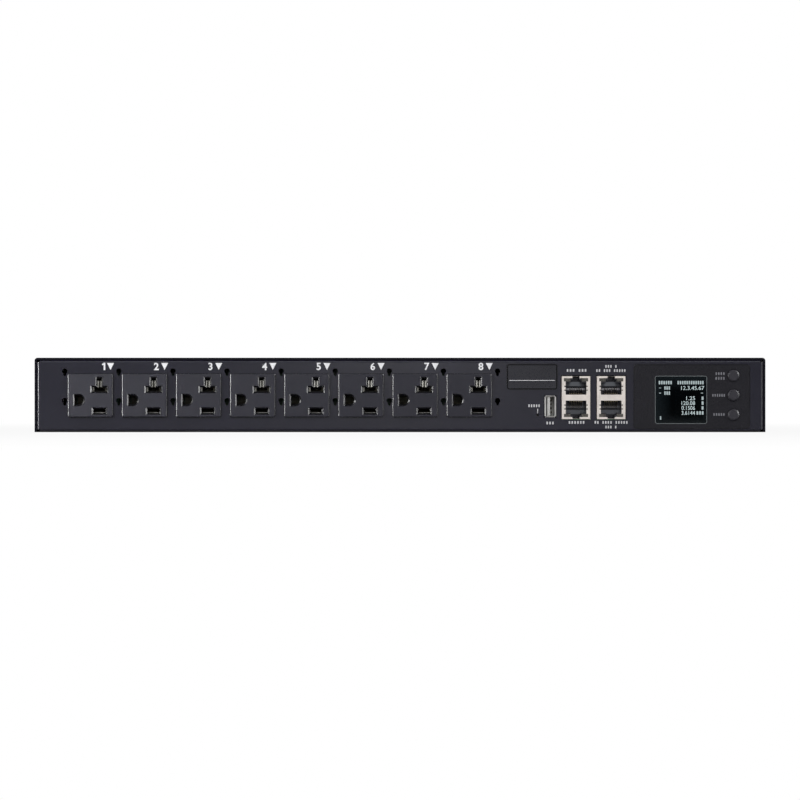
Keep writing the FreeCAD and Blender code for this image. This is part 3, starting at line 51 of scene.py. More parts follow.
# Thickness of print and of painted shade, and the hair of room under it
INK = 0.02 * MM
INK_GAP = 0.01 * MM


# Material helpers

NOISE_ROUGHNESS = 0.55
# The part of its range that a noise texture really fills, and the whole range of a mask
NOISE_SPAN = (0.3, 0.7)
MASK_SPAN = (0, 1)
# How much smoother a polished part is
POLISH = 0.2


def parts_of(material):
    """A material's node tree and its shader."""
    tree = material.node_tree
    return tree, tree.nodes["Principled BSDF"]


def new_material(name):
    material = bpy.data.materials.new(name)
    material.use_nodes = True
    return material, *parts_of(material)


def set_inputs(node, **values):
    """Set a node's inputs to fixed values; a tuple is a colour."""
    for name, value in values.items():
        socket = node.inputs[name.replace("_", " ")]
        socket.default_value = (*value, 1) if isinstance(value, tuple) else value


def link_inputs(tree, shader, **outputs):
    """Feed a shader's inputs from the outputs of other nodes."""
    for name, output in outputs.items():
        tree.links.new(output, shader.inputs[name.replace("_", " ")])


def source_of(shader, name):
    """The output that feeds one of a shader's inputs."""
    return shader.inputs[name].links[0].from_socket


def object_coords(tree, stretch=(1, 1, 1)):
    """Object coordinates, stretched along each axis."""
    coords = tree.nodes.new("ShaderNodeTexCoord")
    mapping = tree.nodes.new("ShaderNodeMapping")
    mapping.inputs["Scale"].default_value = stretch
    tree.links.new(coords.outputs["Object"], mapping.inputs["Vector"])
    return mapping.outputs["Vector"]


def noise(tree, vector, scale, detail):
    texture = tree.nodes.new("ShaderNodeTexNoise")
    set_inputs(texture, Scale=scale, Detail=detail, Roughness=NOISE_ROUGHNESS)
    tree.links.new(vector, texture.inputs["Vector"])
    return texture.outputs["Fac"]


def remap(tree, value, low, high, span=NOISE_SPAN):
    """Spread a span of a value over the range from low to high, and hold it there beyond the span."""
    node = tree.nodes.new("ShaderNodeMapRange")
    set_inputs(node, From_Min=span[0], From_Max=span[1], To_Min=low, To_Max=high)
    tree.links.new(value, node.inputs["Value"])
    return node.outputs["Result"]


def blend_colours(tree, factor, first, second):
    """Blend two colours, each a fixed colour or the output of a node."""
    mix = tree.nodes.new("ShaderNodeMix")
    mix.data_type = "RGBA"
    for socket, colour in (("A", first), ("B", second)):
        if isinstance(colour, tuple):
            mix.inputs[socket].default_value = (*colour, 1)
        else:
            tree.links.new(colour, mix.inputs[socket])
    tree.links.new(factor, mix.inputs["Factor"])
    return mix.outputs["Result"]


def mottle(tree, texture, first, second):
    """Blend two colours by a noise texture."""
    return blend_colours(tree, remap(tree, texture, 0, 1), first, second)


def mix_shaders(tree, factor, first, second):
    mix = tree.nodes.new("ShaderNodeMixShader")
    for socket, output in zip(mix.inputs, (factor, first, second)):
        tree.links.new(output, socket)
    return mix.outputs["Shader"]


def axes_of(tree, vector):
    split = tree.nodes.new("ShaderNodeSeparateXYZ")
    tree.links.new(vector, split.inputs["Vector"])
    return split.outputs


def calculate(tree, operation, first, *others):
    node = tree.nodes.new("ShaderNodeMath")
    node.operation = operation
    for socket, value in zip(node.inputs, (first, *others)):
        if isinstance(value, (int, float)):
            socket.default_value = value
        else:
            tree.links.new(value, socket)
    return node.outputs["Value"]


def multiply(tree, first, second):
    return calculate(tree, "MULTIPLY", first, second)


def off_centre(tree, value, centre):
    """Distance of a value from a centre."""
    return calculate(tree, "ABSOLUTE", calculate(tree, "SUBTRACT", value, centre))


def bump(tree, shader, height, strength, distance):
    node = tree.nodes.new("ShaderNodeBump")
    set_inputs(node, Strength=strength, Distance=distance)
    tree.links.new(height, node.inputs["Height"])
    tree.links.new(node.outputs["Normal"], shader.inputs["Normal"])


def recolour(tree, shader, mask, colour):
    """Blend a shader's colour to another one where a mask is set."""
    link_inputs(tree, shader, Base_Color=blend_colours(tree, mask, source_of(shader, "Base Color"), colour))


def polish(tree, shader, mask):
    """Make a shader smoother where a mask is set."""
    rough = source_of(shader, "Roughness")
    link_inputs(tree, shader, Roughness=calculate(tree, "MULTIPLY_ADD", mask, -POLISH, rough))


def scaled(colour, factor):
    return tuple(channel * factor for channel in colour)


# Coat and plastics

COAT = (0.0085, 0.0081, 0.0172)
# How dark the front edge is made, and the depths behind it between which its colour and coat come back
CUT_EDGE_SHADE = 0.45
COAT_START, COAT_FULL = 0.1 * MM, 0.3 * MM


def powder_coat(name, gloss, gloss_roughness, cut_edge=None):
    """Blue-black satin coat with a fine orange peel; over a sheet's front edge it is darker and without the
    clear coat.
    """
    material, tree, shader = new_material(name)
    coords = object_coords(tree)
    cloud = noise(tree, coords, scale=26, detail=4)
    tint = mottle(tree, cloud, scaled(COAT, 0.85), scaled(COAT, 1.15))
    peel = noise(tree, coords, scale=1500, detail=2)
    link_inputs(tree, shader, Roughness=remap(tree, peel, 0.28, 0.38))
    bump(tree, shader, peel, strength=0.10, distance=0.05 * MM)
    set_inputs(shader, Specular_IOR_Level=0.4, Coat_Roughness=gloss_roughness)
    if cut_edge is None:
        set_inputs(shader, Coat_Weight=gloss)
    else:
        coat_span = (cut_edge + COAT_START, cut_edge + COAT_FULL)
        coated = remap(tree, axes_of(tree, coords)["Y"], 0, 1, coat_span)
        tint = blend_colours(tree, coated, scaled(COAT, CUT_EDGE_SHADE), tint)
        link_inputs(tree, shader, Coat_Weight=remap(tree, coated, 0, gloss, MASK_SPAN))
    link_inputs(tree, shader, Base_Color=tint)
    return material


def moulded_plastic(name, colour, roughness=0.45, specular=0.5):
    """Moulded plastic with a spark-eroded grain and slight flow marks."""
    material, tree, shader = new_material(name)
    flow = noise(tree, object_coords(tree, (1, 1, 0.35)), scale=60, detail=3)
    grain = noise(tree, object_coords(tree), scale=1100, detail=2)
    link_inputs(tree, shader, Base_Color=mottle(tree, flow, scaled(colour, 0.9), scaled(colour, 1.1)),
                Roughness=remap(tree, grain, roughness - 0.06, roughness + 0.08))
    bump(tree, shader, grain, strength=0.12, distance=0.04 * MM)
    set_inputs(shader, Specular_IOR_Level=specular)
    return material


# How squarely a surface looks to the front, from a polished edge darkened by painted shade to a grained face
FACING_SPAN = (0.85, 0.97)


def outlet_plastic():
    """Grained face, with polished edges and lead-ins that painted shade makes darker."""
    material = moulded_plastic("outlet_plastic", (0.0100, 0.0097, 0.0180), roughness=0.42)
    tree, shader = parts_of(material)
    normal = axes_of(tree, tree.nodes.new("ShaderNodeNewGeometry").outputs["True Normal"])
    edge = remap(tree, calculate(tree, "ABSOLUTE", normal["Y"]), 1, 0, FACING_SPAN)
    # Painted shade: edges, lead-ins and slot walls that face away from the front are coloured darker
    recolour(tree, shader, edge, (0.005, 0.005, 0.007))
    polish(tree, shader, edge)
    return material


# Jack inserts: depths behind the mouth between which the wall and comb begin, and how far their middle lies
# below the middle of the box
BACK_START, BACK_FULL = 9 * MM, 12 * MM
MIDDLE_DROP = 0.2 * MM
# Painted light on the wall and comb: height off the middle, half height, distances aside between which
# painted shade dims them, and how far
WALL_RISE, WALL_HALF, WALL_SPAN, WALL_SIDES = 8.35 * MM, 1.25 * MM, (2.6 * MM, 4.0 * MM), 0.3
COMB_RISE, COMB_HALF, COMB_SPAN, COMB_SIDES = 5.2 * MM, 0.55 * MM, (4.0 * MM, 4.8 * MM), 0.45
# How much of their painted light the lower port keeps, the rest taken by painted shade
LOWER_WALL, LOWER_COMB = 0.59, 0.3


def jack_insert(name, node):
    """Dark moulded insert with painted light on its comb and back wall, dimmed by painted shade towards the
    sides and in the lower port.
    """
    material = moulded_plastic(name, (0.010, 0.010, 0.013), roughness=0.35)
    tree, shader = parts_of(material)
    low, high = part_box(node)
    middle = (low.z + high.z) / 2 - MIDDLE_DROP
    axes = axes_of(tree, object_coords(tree))
    deep = remap(tree, axes["Y"], 0, 1, (low.y + BACK_START, low.y + BACK_FULL))
    upper = calculate(tree, "GREATER_THAN", axes["Z"], middle)
    rise = off_centre(tree, axes["Z"], middle)
    aside = off_centre(tree, axes["X"], (low.x + high.x) / 2)

    # Painted light: a pale band on the back wall, brightest in the middle of the upper port; painted shade
    # dims it to the sides and in the lower port
    wall = calculate(tree, "COMPARE", rise, WALL_RISE, WALL_HALF)
    dome = multiply(tree, upper, remap(tree, aside, 1, WALL_SIDES, WALL_SPAN))
    plain = calculate(tree, "MULTIPLY_ADD", upper, -LOWER_WALL, LOWER_WALL)
    wall = multiply(tree, wall, calculate(tree, "MAXIMUM", dome, plain))
    recolour(tree, shader, multiply(tree, deep, wall), (0.099, 0.106, 0.118))

    # Painted light on the comb's front, with painted shade at its sides and in the lower port
    comb = calculate(tree, "COMPARE", rise, COMB_RISE, COMB_HALF)
    comb = multiply(tree, comb, calculate(tree, "MULTIPLY_ADD", upper, 1 - LOWER_COMB, LOWER_COMB))
    comb = multiply(tree, comb, remap(tree, aside, 1, COMB_SIDES, COMB_SPAN))
    recolour(tree, shader, multiply(tree, deep, comb), (0.36, 0.352, 0.372))
    return material


# Depths behind the tongue's end between which painted light makes its plastic lighter
TONGUE_START, TONGUE_FULL = 1 * MM, 9 * MM


def socket_tongue():
    """Pale tongue, with painted light making it lighter towards the dark end of its socket."""
    material = moulded_plastic("tongue_plastic", (0.40, 0.40, 0.39), roughness=0.5)
    tree, shader = parts_of(material)
    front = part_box("usb_tongue")[0].y
    depth = axes_of(tree, object_coords(tree))["Y"]
    deep = remap(tree, depth, 0, 1, (front + TONGUE_START, front + TONGUE_FULL))
    # Painted light: the deep part of the tongue is coloured lighter
    recolour(tree, shader, deep, (0.60, 0.60, 0.58))
    return material


# Metals

ROLLING = (0.06, 1, 1)


def plated_metal(name, colour, roughness, metallic=1.0, dullest=0.86):
    """Plated sheet or wire with fine rolling lines and dull patches."""
    material, tree, shader = new_material(name)
    lines = noise(tree, object_coords(tree, ROLLING), scale=2600, detail=2)
    patches = noise(tree, object_coords(tree), scale=240, detail=4)
    link_inputs(tree, shader, Base_Color=mottle(tree, patches, scaled(colour, dullest), colour),
                Roughness=remap(tree, lines, roughness - 0.06, roughness + 0.1))
    bump(tree, shader, lines, strength=0.05, distance=0.03 * MM)
    set_inputs(shader, Metallic=metallic)
    return material


# Colours of the strips: brass darkened by painted shade, a painted glint on the tips and a painted highlight
# on a lip
BRASS_IN_PAINTED_SHADE, PAINTED_GLINT, PAINTED_LIP_LIGHT = (0.085, 0.080, 0.062), (0.70, 0.69, 0.64), (0.25, 0.245, 0.235)
STRIP_METALLIC = 0.8
# How far the painted highlights on the tips reach behind the strips' front edge
TIP_DEPTH = 0.3 * MM
# Painted highlights on the neutral strip's tips: the guide at its left end, and the stem with a gap in its
# middle
GUIDE_WIDTH, GUIDE_SHARE = 0.85 * MM, 0.5
STEM_HEIGHT, STEM_HALF_GAP = 3.9 * MM, 0.45 * MM
# Painted highlight along the line strip's lower lip, measured up from its lower edge
LIP_MIDDLE, LIP_HALF = 1.2 * MM, 0.8 * MM


def contact_strip(name):
    """Brass strip darkened by painted shade, with dull patches."""
    return plated_metal(name, BRASS_IN_PAINTED_SHADE, roughness=0.38, metallic=STRIP_METALLIC, dullest=0.7)


def neutral_strip():
    """The same strip, with painted highlights, polished as well, on the tips behind each T-shaped slot's
    stem and left end.
    """
    material = contact_strip("neutral_strip")
    tree, shader = parts_of(material)
    low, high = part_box("neutral_contacts")
    axes = axes_of(tree, object_coords(tree))
    across = calculate(tree, "MODULO", calculate(tree, "SUBTRACT", axes["X"], low.x), OUTLET_PITCH)
    guide = multiply(tree, calculate(tree, "LESS_THAN", across, GUIDE_WIDTH), GUIDE_SHARE)
    half_clip = (high.x - low.x - (len(OUTLETS) - 1) * OUTLET_PITCH) / 2
    raised = calculate(tree, "GREATER_THAN", axes["Z"], high.z - STEM_HEIGHT)
    beside_gap = calculate(tree, "GREATER_THAN", off_centre(tree, across, half_clip), STEM_HALF_GAP)
    stem = multiply(tree, raised, beside_gap)
    tips = calculate(tree, "LESS_THAN", axes["Y"], low.y + TIP_DEPTH)
    # Painted highlights: the front of the tips is coloured bright at the left guide and beside the stem's
    # gap
    glints = multiply(tree, tips, calculate(tree, "MAXIMUM", guide, stem))
    recolour(tree, shader, glints, PAINTED_GLINT)
    polish(tree, shader, glints)
    return material


def line_strip():
    """The same strip, with a painted highlight, less metallic, along its lower lip."""
    material = contact_strip("line_strip")
    tree, shader = parts_of(material)
    low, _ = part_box("line_contacts")
    axes = axes_of(tree, object_coords(tree))
    tips = calculate(tree, "LESS_THAN", axes["Y"], low.y + TIP_DEPTH)
    lip = multiply(tree, tips, calculate(tree, "COMPARE", axes["Z"], low.z + LIP_MIDDLE, LIP_HALF))
    # Painted highlight: the lip is coloured pale and made less metallic
    recolour(tree, shader, lip, PAINTED_LIP_LIGHT)
    metallic = calculate(tree, "MULTIPLY_ADD", lip, -STRIP_METALLIC, STRIP_METALLIC)
    link_inputs(tree, shader, Metallic=metallic)
    return material


# Films, lens, inks and light

def satin_film(name, colour):
    """Printed polyester film with a fine velvet texture."""
    material, tree, shader = new_material(name)
    coords = object_coords(tree)
    cloud = noise(tree, coords, scale=45, detail=3)
    velvet = noise(tree, coords, scale=2400, detail=1)
    link_inputs(tree, shader, Base_Color=mottle(tree, cloud, scaled(colour, 0.9), scaled(colour, 1.1)),
                Roughness=remap(tree, velvet, 0.26, 0.36))
    bump(tree, shader, velvet, strength=0.08, distance=0.02 * MM)
    return material


PIXEL, PIXEL_GAP = 0.34 * MM, 0.05 * MM
# Where the lens is darkest, as shares of its width and height, and how far out from there painted sheen
# makes it paler
DARKEST_SPOT = (("x", 0.58), ("z", 0.44))
RIM_SPAN = (0.45, 0.97)


def screen_lens():
    """Dark polished lens with a faint pixel grid beneath it, and a painted sheen that makes it paler towards
    its edges.
    """
    material, tree, shader = new_material("screen_lens")
    grid = tree.nodes.new("ShaderNodeTexBrick")
    grid.offset = 0
    set_inputs(grid, Scale=1.0, Mortar_Size=PIXEL_GAP, Brick_Width=PIXEL, Row_Height=PIXEL,
               Color1=(0.0004, 0.0011, 0.0015), Color2=(0.0005, 0.0013, 0.0018),
               Mortar=(0.0002, 0.0005, 0.0007))
    turn = tree.nodes.new("ShaderNodeMapping")
    turn.inputs["Rotation"].default_value = (math.radians(-90), 0, 0)
    tree.links.new(object_coords(tree), turn.inputs["Vector"])
    tree.links.new(turn.outputs["Vector"], grid.inputs["Vector"])
    low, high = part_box("display_window")
    axes = axes_of(tree, object_coords(tree))
    # Painted sheen: the lens is coloured paler out from an off-centre darkest spot
    reach = []
    for axis, share in DARKEST_SPOT:
        start = getattr(low, axis)
        size = getattr(high, axis) - start
        away = off_centre(tree, axes[axis.upper()], start + share * size)
        reach.append(calculate(tree, "DIVIDE", away, max(share, 1 - share) * size))
    painted_sheen = remap(tree, calculate(tree, "MAXIMUM", *reach), 0, 1, RIM_SPAN)
    tint = blend_colours(tree, painted_sheen, grid.outputs["Color"], (0.0068, 0.0098, 0.0118))
    smear = noise(tree, object_coords(tree), scale=70, detail=4)
    link_inputs(tree, shader, Base_Color=tint, Roughness=remap(tree, smear, 0.03, 0.07))
    return material


def print_ink(name, colour, specular=0.5):
    """Screen-printed ink with slightly uneven cover, also used for flat marks of painted shade."""
    material, tree, shader = new_material(name)
    cover = noise(tree, object_coords(tree), scale=900, detail=3)
    link_inputs(tree, shader, Base_Color=mottle(tree, cover, scaled(colour, 0.88), colour),
                Roughness=remap(tree, cover, 0.45, 0.6))
    set_inputs(shader, Specular_IOR_Level=specular)
    return material


def lit_pixels(name, strength):
    """Glowing characters of the display, of uneven brightness."""
    material, tree, shader = new_material(name)
    cell = noise(tree, object_coords(tree), scale=1600, detail=1)
    link_inputs(tree, shader, Emission_Color=mottle(tree, cell, (0.42, 0.52, 0.54), (0.72, 0.84, 0.86)))
    set_inputs(shader, Base_Color=(0.05, 0.06, 0.06), Emission_Strength=strength, Roughness=0.5)
    return material


def clear_moulding():
    """Cloudy light pipe."""
    material, tree, shader = new_material("light_pipe")
    haze = noise(tree, object_coords(tree), scale=500, detail=3)
    link_inputs(tree, shader, Base_Color=mottle(tree, haze, (0.050, 0.047, 0.042), (0.105, 0.099, 0.088)),
                Roughness=remap(tree, haze, 0.12, 0.25))
    return material


# Boards and wires

# The narrow part of the noise that parts the tracks from the ground between them
TRACK_SPAN = (0.48, 0.52)


def board_laminate():
    """Green board with lighter tracks under the resist."""
    material, tree, shader = new_material("board_laminate")
    tracks = noise(tree, object_coords(tree, (1, 0.12, 0.12)), scale=420, detail=1)
    tint = blend_colours(tree, remap(tree, tracks, 0, 1, TRACK_SPAN), (0.010, 0.060, 0.028),
                         (0.022, 0.115, 0.050))
    link_inputs(tree, shader, Base_Color=tint)
    bump(tree, shader, tracks, strength=0.2, distance=0.03 * MM)
    set_inputs(shader, Roughness=0.35)
    return material


def insulation(name, colour):
    """Scuffed soft insulation."""
    material, tree, shader = new_material(name)
    scuff = noise(tree, object_coords(tree), scale=380, detail=4)
    link_inputs(tree, shader, Base_Color=mottle(tree, scuff, scaled(colour, 0.85), colour),
                Roughness=remap(tree, scuff, 0.4, 0.6))
    bump(tree, shader, scuff, strength=0.1, distance=0.05 * MM)
    return material


def dress(material, *names):
    for name in names:
        for slot in NODES[name].material_slots:
            slot.material = material


def dress_nodes():
    """Give every node of the frame its finished material."""
    dress(powder_coat("tray_coat", gloss=0.7, gloss_roughness=0.16), "chassis_tray")
    dress(powder_coat("cover_coat", gloss=0.4, gloss_roughness=0.3, cut_edge=CASE_LOW.y), "top_cover")
    dress(outlet_plastic(), *OUTLETS)
    dress(contact_strip("contact_strip"), "ground_contacts")
    dress(line_strip(), "line_contacts")
    dress(neutral_strip(), "neutral_contacts")
    dress(board_laminate(), "outlet_board", "display_board", "control_board", "supply_board")
    dress(moulded_plastic("relay_case", (0.02, 0.03, 0.05), roughness=0.3), "outlet_relays")
    dress(satin_film("plate_film", (0.019, 0.019, 0.025)), "name_plate")
    dress(satin_film("overlay_film", (0.0070, 0.0066, 0.0105)), "display_overlay")
    dress(screen_lens(), "display_window")
    dress(moulded_plastic("button_plastic", (0.027, 0.026, 0.033), roughness=0.52, specular=0.24),
          "menu_button", "select_button", "enter_button")
    dress(moulded_plastic("plunger_plastic", (0.05, 0.05, 0.05)),
          "menu_plunger", "select_plunger", "enter_plunger", "reset_plunger")
    dress(moulded_plastic("switch_case", (0.012, 0.012, 0.012)), "key_switches", "reset_switch")
    dress(plated_metal("matt_tin", (0.80, 0.74, 0.69), roughness=0.45, metallic=0.4),
          "serial_jack_shield", "network_jack_shield")
    dress(plated_metal("nickel_shell", (0.70, 0.69, 0.68), roughness=0.35, metallic=0.7),
          "usb_shell", "display_module")
    for node in JACK_INSERTS:
        dress(jack_insert(f"{node}_plastic", node), node)
    # Gold flash darkened by painted shade, deep inside the jacks
    dress(plated_metal("gold_flash_painted_shade", (0.42, 0.35, 0.22), roughness=0.3),
          "serial_jack_contacts", "network_jack_contacts")
    # Spring contacts darkened by painted shade, where they sit in the tongue's slots
    dress(plated_metal("socket_spring_painted_shade", (0.07, 0.065, 0.05), roughness=0.3), "usb_contacts")
    dress(clear_moulding(), "jack_light_pipes")
    dress(socket_tongue(), "usb_tongue")
    dress(plated_metal("zinc_plate", (0.60, 0.60, 0.62), roughness=0.35), "bracket_nuts", "board_standoffs",
          "board_screws", "ground_nut", "ground_screw", "breaker_nut")
    dress(plated_metal("black_oxide", (0.045, 0.045, 0.05), roughness=0.4), "cover_screws", "inlet_screws")
    dress(insulation("taped_winding", (0.38, 0.27, 0.05)), "supply_transformer")
    dress(moulded_plastic("capacitor_sleeve", (0.012, 0.02, 0.06), roughness=0.3), "supply_capacitors")
    dress(moulded_plastic("inlet_plastic", (0.012, 0.012, 0.014), roughness=0.4),
          "inlet_housing", "breaker_body")
    dress(plated_metal("nickel_plate", (0.70, 0.67, 0.62), roughness=0.22), "inlet_pins")
    dress(moulded_plastic("breaker_button_plastic", (0.02, 0.02, 0.022), roughness=0.35), "breaker_button")
    dress(insulation("black_insulation", (0.012, 0.012, 0.013)), "line_wire", "feed_wire")
    dress(insulation("white_insulation", (0.62, 0.62, 0.60)), "neutral_wire")
    dress(insulation("green_insulation", (0.02, 0.20, 0.05)), "ground_wire")


# Shapes of the print and of painted shade

def add_piece(name, mesh, material):
    piece = bpy.data.objects.new(name, mesh)
    bpy.context.scene.collection.objects.link(piece)
    mesh.materials.append(material)
    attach(piece, "case")


def finished_mesh(name, build):
    bmesh.ops.recalc_face_normals(build, faces=build.faces)
    mesh = bpy.data.meshes.new(name)
    build.to_mesh(mesh)
    build.free()
    return mesh


def raised_outline(name, outlines, front_y):
    """A mesh of flat outlines in X and Z, raised by the ink's thickness in front of a face."""
    build = bmesh.new()
    for outline in outlines:
        corners = [build.verts.new((x, front_y - INK_GAP, z)) for x, z in outline]
        face = build.faces.new(corners)
        lifted = bmesh.ops.extrude_face_region(build, geom=[face])["geom"]
        moved = [item for item in lifted if isinstance(item, bmesh.types.BMVert)]
        bmesh.ops.translate(build, verts=moved, vec=(0, -INK, 0))
    return finished_mesh(name, build)


def raised_ring(name, outer, inner, front_y):
    """A closed ring between two outlines of as many points, raised in front of a face."""
    build = bmesh.new()
    loops = []
    for outline, depth in ((outer, 0), (outer, INK), (inner, INK), (inner, 0)):
        loops.append([build.verts.new((x, front_y - INK_GAP - depth, z)) for x, z in outline])
    for first, second in zip(loops, loops[1:] + loops[:1]):
        for index in range(len(outer)):
            after = (index + 1) % len(outer)
            build.faces.new((first[index], first[after], second[after], second[index]))
    return finished_mesh(name, build)


def rounded_bar(low_x, high_x, low_z, high_z, radius, steps=5):
    """Outline of an upright rectangle with round corners of some steps each."""
    points = []
    for index, (x, z) in enumerate(((high_x - radius, high_z - radius), (low_x + radius, high_z - radius),
                                    (low_x + radius, low_z + radius), (high_x - radius, low_z + radius))):
        for step in range(steps + 1):
            turn = math.pi / 2 * (index + step / steps)
            points.append((x + radius * math.cos(turn), z + radius * math.sin(turn)))
    return points


def text_mesh(name, words, height, middle, front_y, weight=0.0, width=None):
    """Plain characters of a given height, and of a given width if there is one, facing the front."""
    curve = bpy.data.curves.new(name, "FONT")
    curve.body = words
    curve.offset = weight
    # Half of a thickness of one, which is then flattened to the ink's
    curve.extrude = 0.5
    curve.resolution_u = 4
    holder = bpy.data.objects.new(name, curve)
    bpy.context.scene.collection.objects.link(holder)
    bpy.context.view_layer.update()
    flat = holder.evaluated_get(bpy.context.evaluated_depsgraph_get())
    mesh = bpy.data.meshes.new_from_object(flat)
    bpy.data.objects.remove(holder)
    low, high = (Vector(pick(v.co[axis] for v in mesh.vertices) for axis in range(3)) for pick in (min, max))
    size = high - low
    tall = height / size.y
    stretch = Matrix.Diagonal((width / size.x if width else tall, tall, INK, 1))
    stand = Matrix.Rotation(math.radians(90), 4, "X")
    seat = Vector((middle[0], front_y - INK_GAP - INK / 2, middle[1]))
    mesh.transform(Matrix.Translation(seat) @ stand @ stretch @ Matrix.Translation(-(low + high) / 2))
    mesh.name = name
    return mesh


def mark_row(low_x, high_x, middle_z, height, groups, share=0.54):
    """A row of short upright marks in groups that fills a width, with one place left between groups.

    The share is how much of its place a mark fills.
    """
    pitch = (high_x - low_x) / (sum(groups) + len(groups) - 1)
    half_width, half_height = share * pitch / 2, height / 2
    corner = 0.4 * half_width
    outlines = []
    place = low_x + pitch / 2
    for group in groups:
        for _ in range(group):
            outlines.append(rounded_bar(place - half_width, place + half_width, middle_z - half_height,
                                        middle_z + half_height, corner, steps=3))
            place += pitch
        place += pitch
    return outlines


# Print on the panel, the plate and the overlay, and painted shade along the edges of the plate and the
# overlay

DIGIT_HEIGHT, DIGIT_WEIGHT = 4.4 * MM, 0.025
# Outline in mm of a figure one with a flag, which the built-in characters lack
FIGURE_ONE = ((0, -2.2), (1.0, -2.2), (1.0, 2.2), (0.2, 2.2), (-1.05, 1.4), (-0.63, 0.65), (0, 1.0))
# Places above an outlet and to the right of its middle, and half of the pointer's width
MARKS_RISE = 4.25 * MM
ONE_ASIDE, DIGIT_ASIDE, POINTER_ASIDE = 7.8 * MM, 7.0 * MM, 11.9 * MM
POINTER_HALF = 2.05 * MM


def outlet_marks(ink):
    """A number and a pointer above each outlet."""
    for number, outlet in enumerate(OUTLETS, start=1):
        low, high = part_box(outlet)
        across = (low.x + high.x) / 2
        above = high.z + MARKS_RISE
        name = f"number_{number}"
        if number == 1:
            outline = [(across + ONE_ASIDE + x * MM, above + z * MM) for x, z in FIGURE_ONE]
            digit = raised_outline(name, [outline], PANEL_Y)
        else:
            spot = (across + DIGIT_ASIDE, above)
            digit = text_mesh(name, str(number), DIGIT_HEIGHT, spot, PANEL_Y, weight=DIGIT_WEIGHT)
        add_piece(name, digit, ink)
        tip, half = across + POINTER_ASIDE, POINTER_HALF
        arrow = [(tip - half, above + half), (tip, above - half), (tip + half, above + half)]
        name = f"pointer_{number}"
        add_piece(name, raised_outline(name, [arrow], PANEL_Y), ink)


# Rows of plain marks where a unit of this kind carries its print: left, right, height of the middle, all in
# mm, and the number of marks in each group
PORT_MARKS = {
    "reset_mark": (75.6, 83.0, 15.6, (5,)),
    "usb_mark": (86.2, 91.3, 5.4, (3,)),
    "serial_upper_mark": (98.2, 110.6, 36.5, (3, 3)),
    "network_upper_mark": (121.1, 128.4, 38.9, (3, 1)),
    "network_upper_detail": (115.7, 133.7, 36.4, (2, 3, 5)),
    "serial_lower_mark": (99.4, 109.4, 5.75, (6,)),
    "network_lower_detail": (114.7, 134.9, 5.75, (2, 4, 5)),
    "network_lower_mark": (121.1, 128.3, 3.0, (3, 1)),
}
# Left, right and heights of the rows in mm, and the number of marks in each row
BUTTON_MARKS = {
    "menu_mark": (186.3, 192.3, (34.6, 31.8), 4),
    "select_mark": (184.4, 192.5, (21.75,), 6),
    "enter_mark": (185.0, 192.3, (10.45,), 5),
}
PRINT_HEIGHT = 1.6 * MM
# The tick above the reset hole, from a little below the plunger's top
TICK_HALF, TICK_CORNER = 0.2 * MM, 0.15 * MM
TICK_START, TICK_END = -0.2 * MM, 2.4 * MM


def port_marks(ink):
    for name, (left, right, up, groups) in PORT_MARKS.items():
        outlines = mark_row(left * MM, right * MM, up * MM, PRINT_HEIGHT, groups)
        add_piece(name, raised_outline(name, outlines, PANEL_Y), ink)
    low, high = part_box("reset_plunger")
    across = (low.x + high.x) / 2
    tick = rounded_bar(across - TICK_HALF, across + TICK_HALF, high.z + TICK_START, high.z + TICK_END,
                       TICK_CORNER)
    add_piece("reset_tick", raised_outline("reset_tick", [tick], PANEL_Y), ink)


def button_marks(ink):
    for name, (left, right, heights, count) in BUTTON_MARKS.items():
        outlines = []
        for up in heights:
            outlines += mark_row(left * MM, right * MM, up * MM, PRINT_HEIGHT, (count,))
        add_piece(name, raised_outline(name, outlines, OVERLAY_Y), ink)


def plate_rule(ink):
    """The thin rule across the bare name plate."""
    low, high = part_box("name_plate")
    side, up, half = 1.3 * MM, low.z + 5.3 * MM, 0.13 * MM
    rule = rounded_bar(low.x + side, high.x - side, up - half, up + half, half)
    add_piece("plate_rule", raised_outline("plate_rule", [rule], low.y), ink)


def edge_line(name, node, line, corner, ink):
    """A line of one width along the edge of a film or a lens, used for print and for painted shade."""
    low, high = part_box(node)
    outer = rounded_bar(low.x, high.x, low.z, high.z, corner, steps=8)
    inner = rounded_bar(low.x + line, high.x - line, low.z + line, high.z - line, corner - line, steps=8)
    add_piece(name, raised_ring(name, outer, inner, low.y), ink)


# What the display shows, in mm from the window's lower left corner

# Height and pitch of the glyphs, and the share of a pitch that is left free after the last one
GLYPH_HEIGHT, GLYPH_PITCH, GLYPH_GAP = 2.3, 1.4, 0.3
# Digits, right edge, height of the middle
READINGS = (("12.3.45.67", 29.1, 21.2), ("1.25", 23.7, 15.15), ("120.08", 23.7, 12.25),
            ("0.1506", 23.7, 9.4), ("3.6144", 23.7, 6.45))
# Left, right, height of the middle, number of marks
DISPLAY_MARKS = ((2.0, 10.2, 24.4, 6), (13.1, 29.0, 24.4, 12), (5.3, 9.1, 21.2, 3), (5.3, 9.1, 18.2, 3),
                 (27.3, 29.0, 15.15, 1), (27.3, 29.0, 12.25, 1), (27.3, 29.0, 9.4, 1), (24.3, 29.0, 6.45, 3),
                 (2.7, 3.9, 3.5, 1))
MARK_HEIGHT, MARK_SHARE = 0.88 * GLYPH_HEIGHT, 0.66
# Left, right, height of the middle
DISPLAY_DASHES = ((2.4, 3.6, 21.2), (2.4, 3.6, 18.2), (27.2, 28.4, 18.2))
DASH_HALF, DASH_CORNER = 0.2 * MM, 0.06 * MM


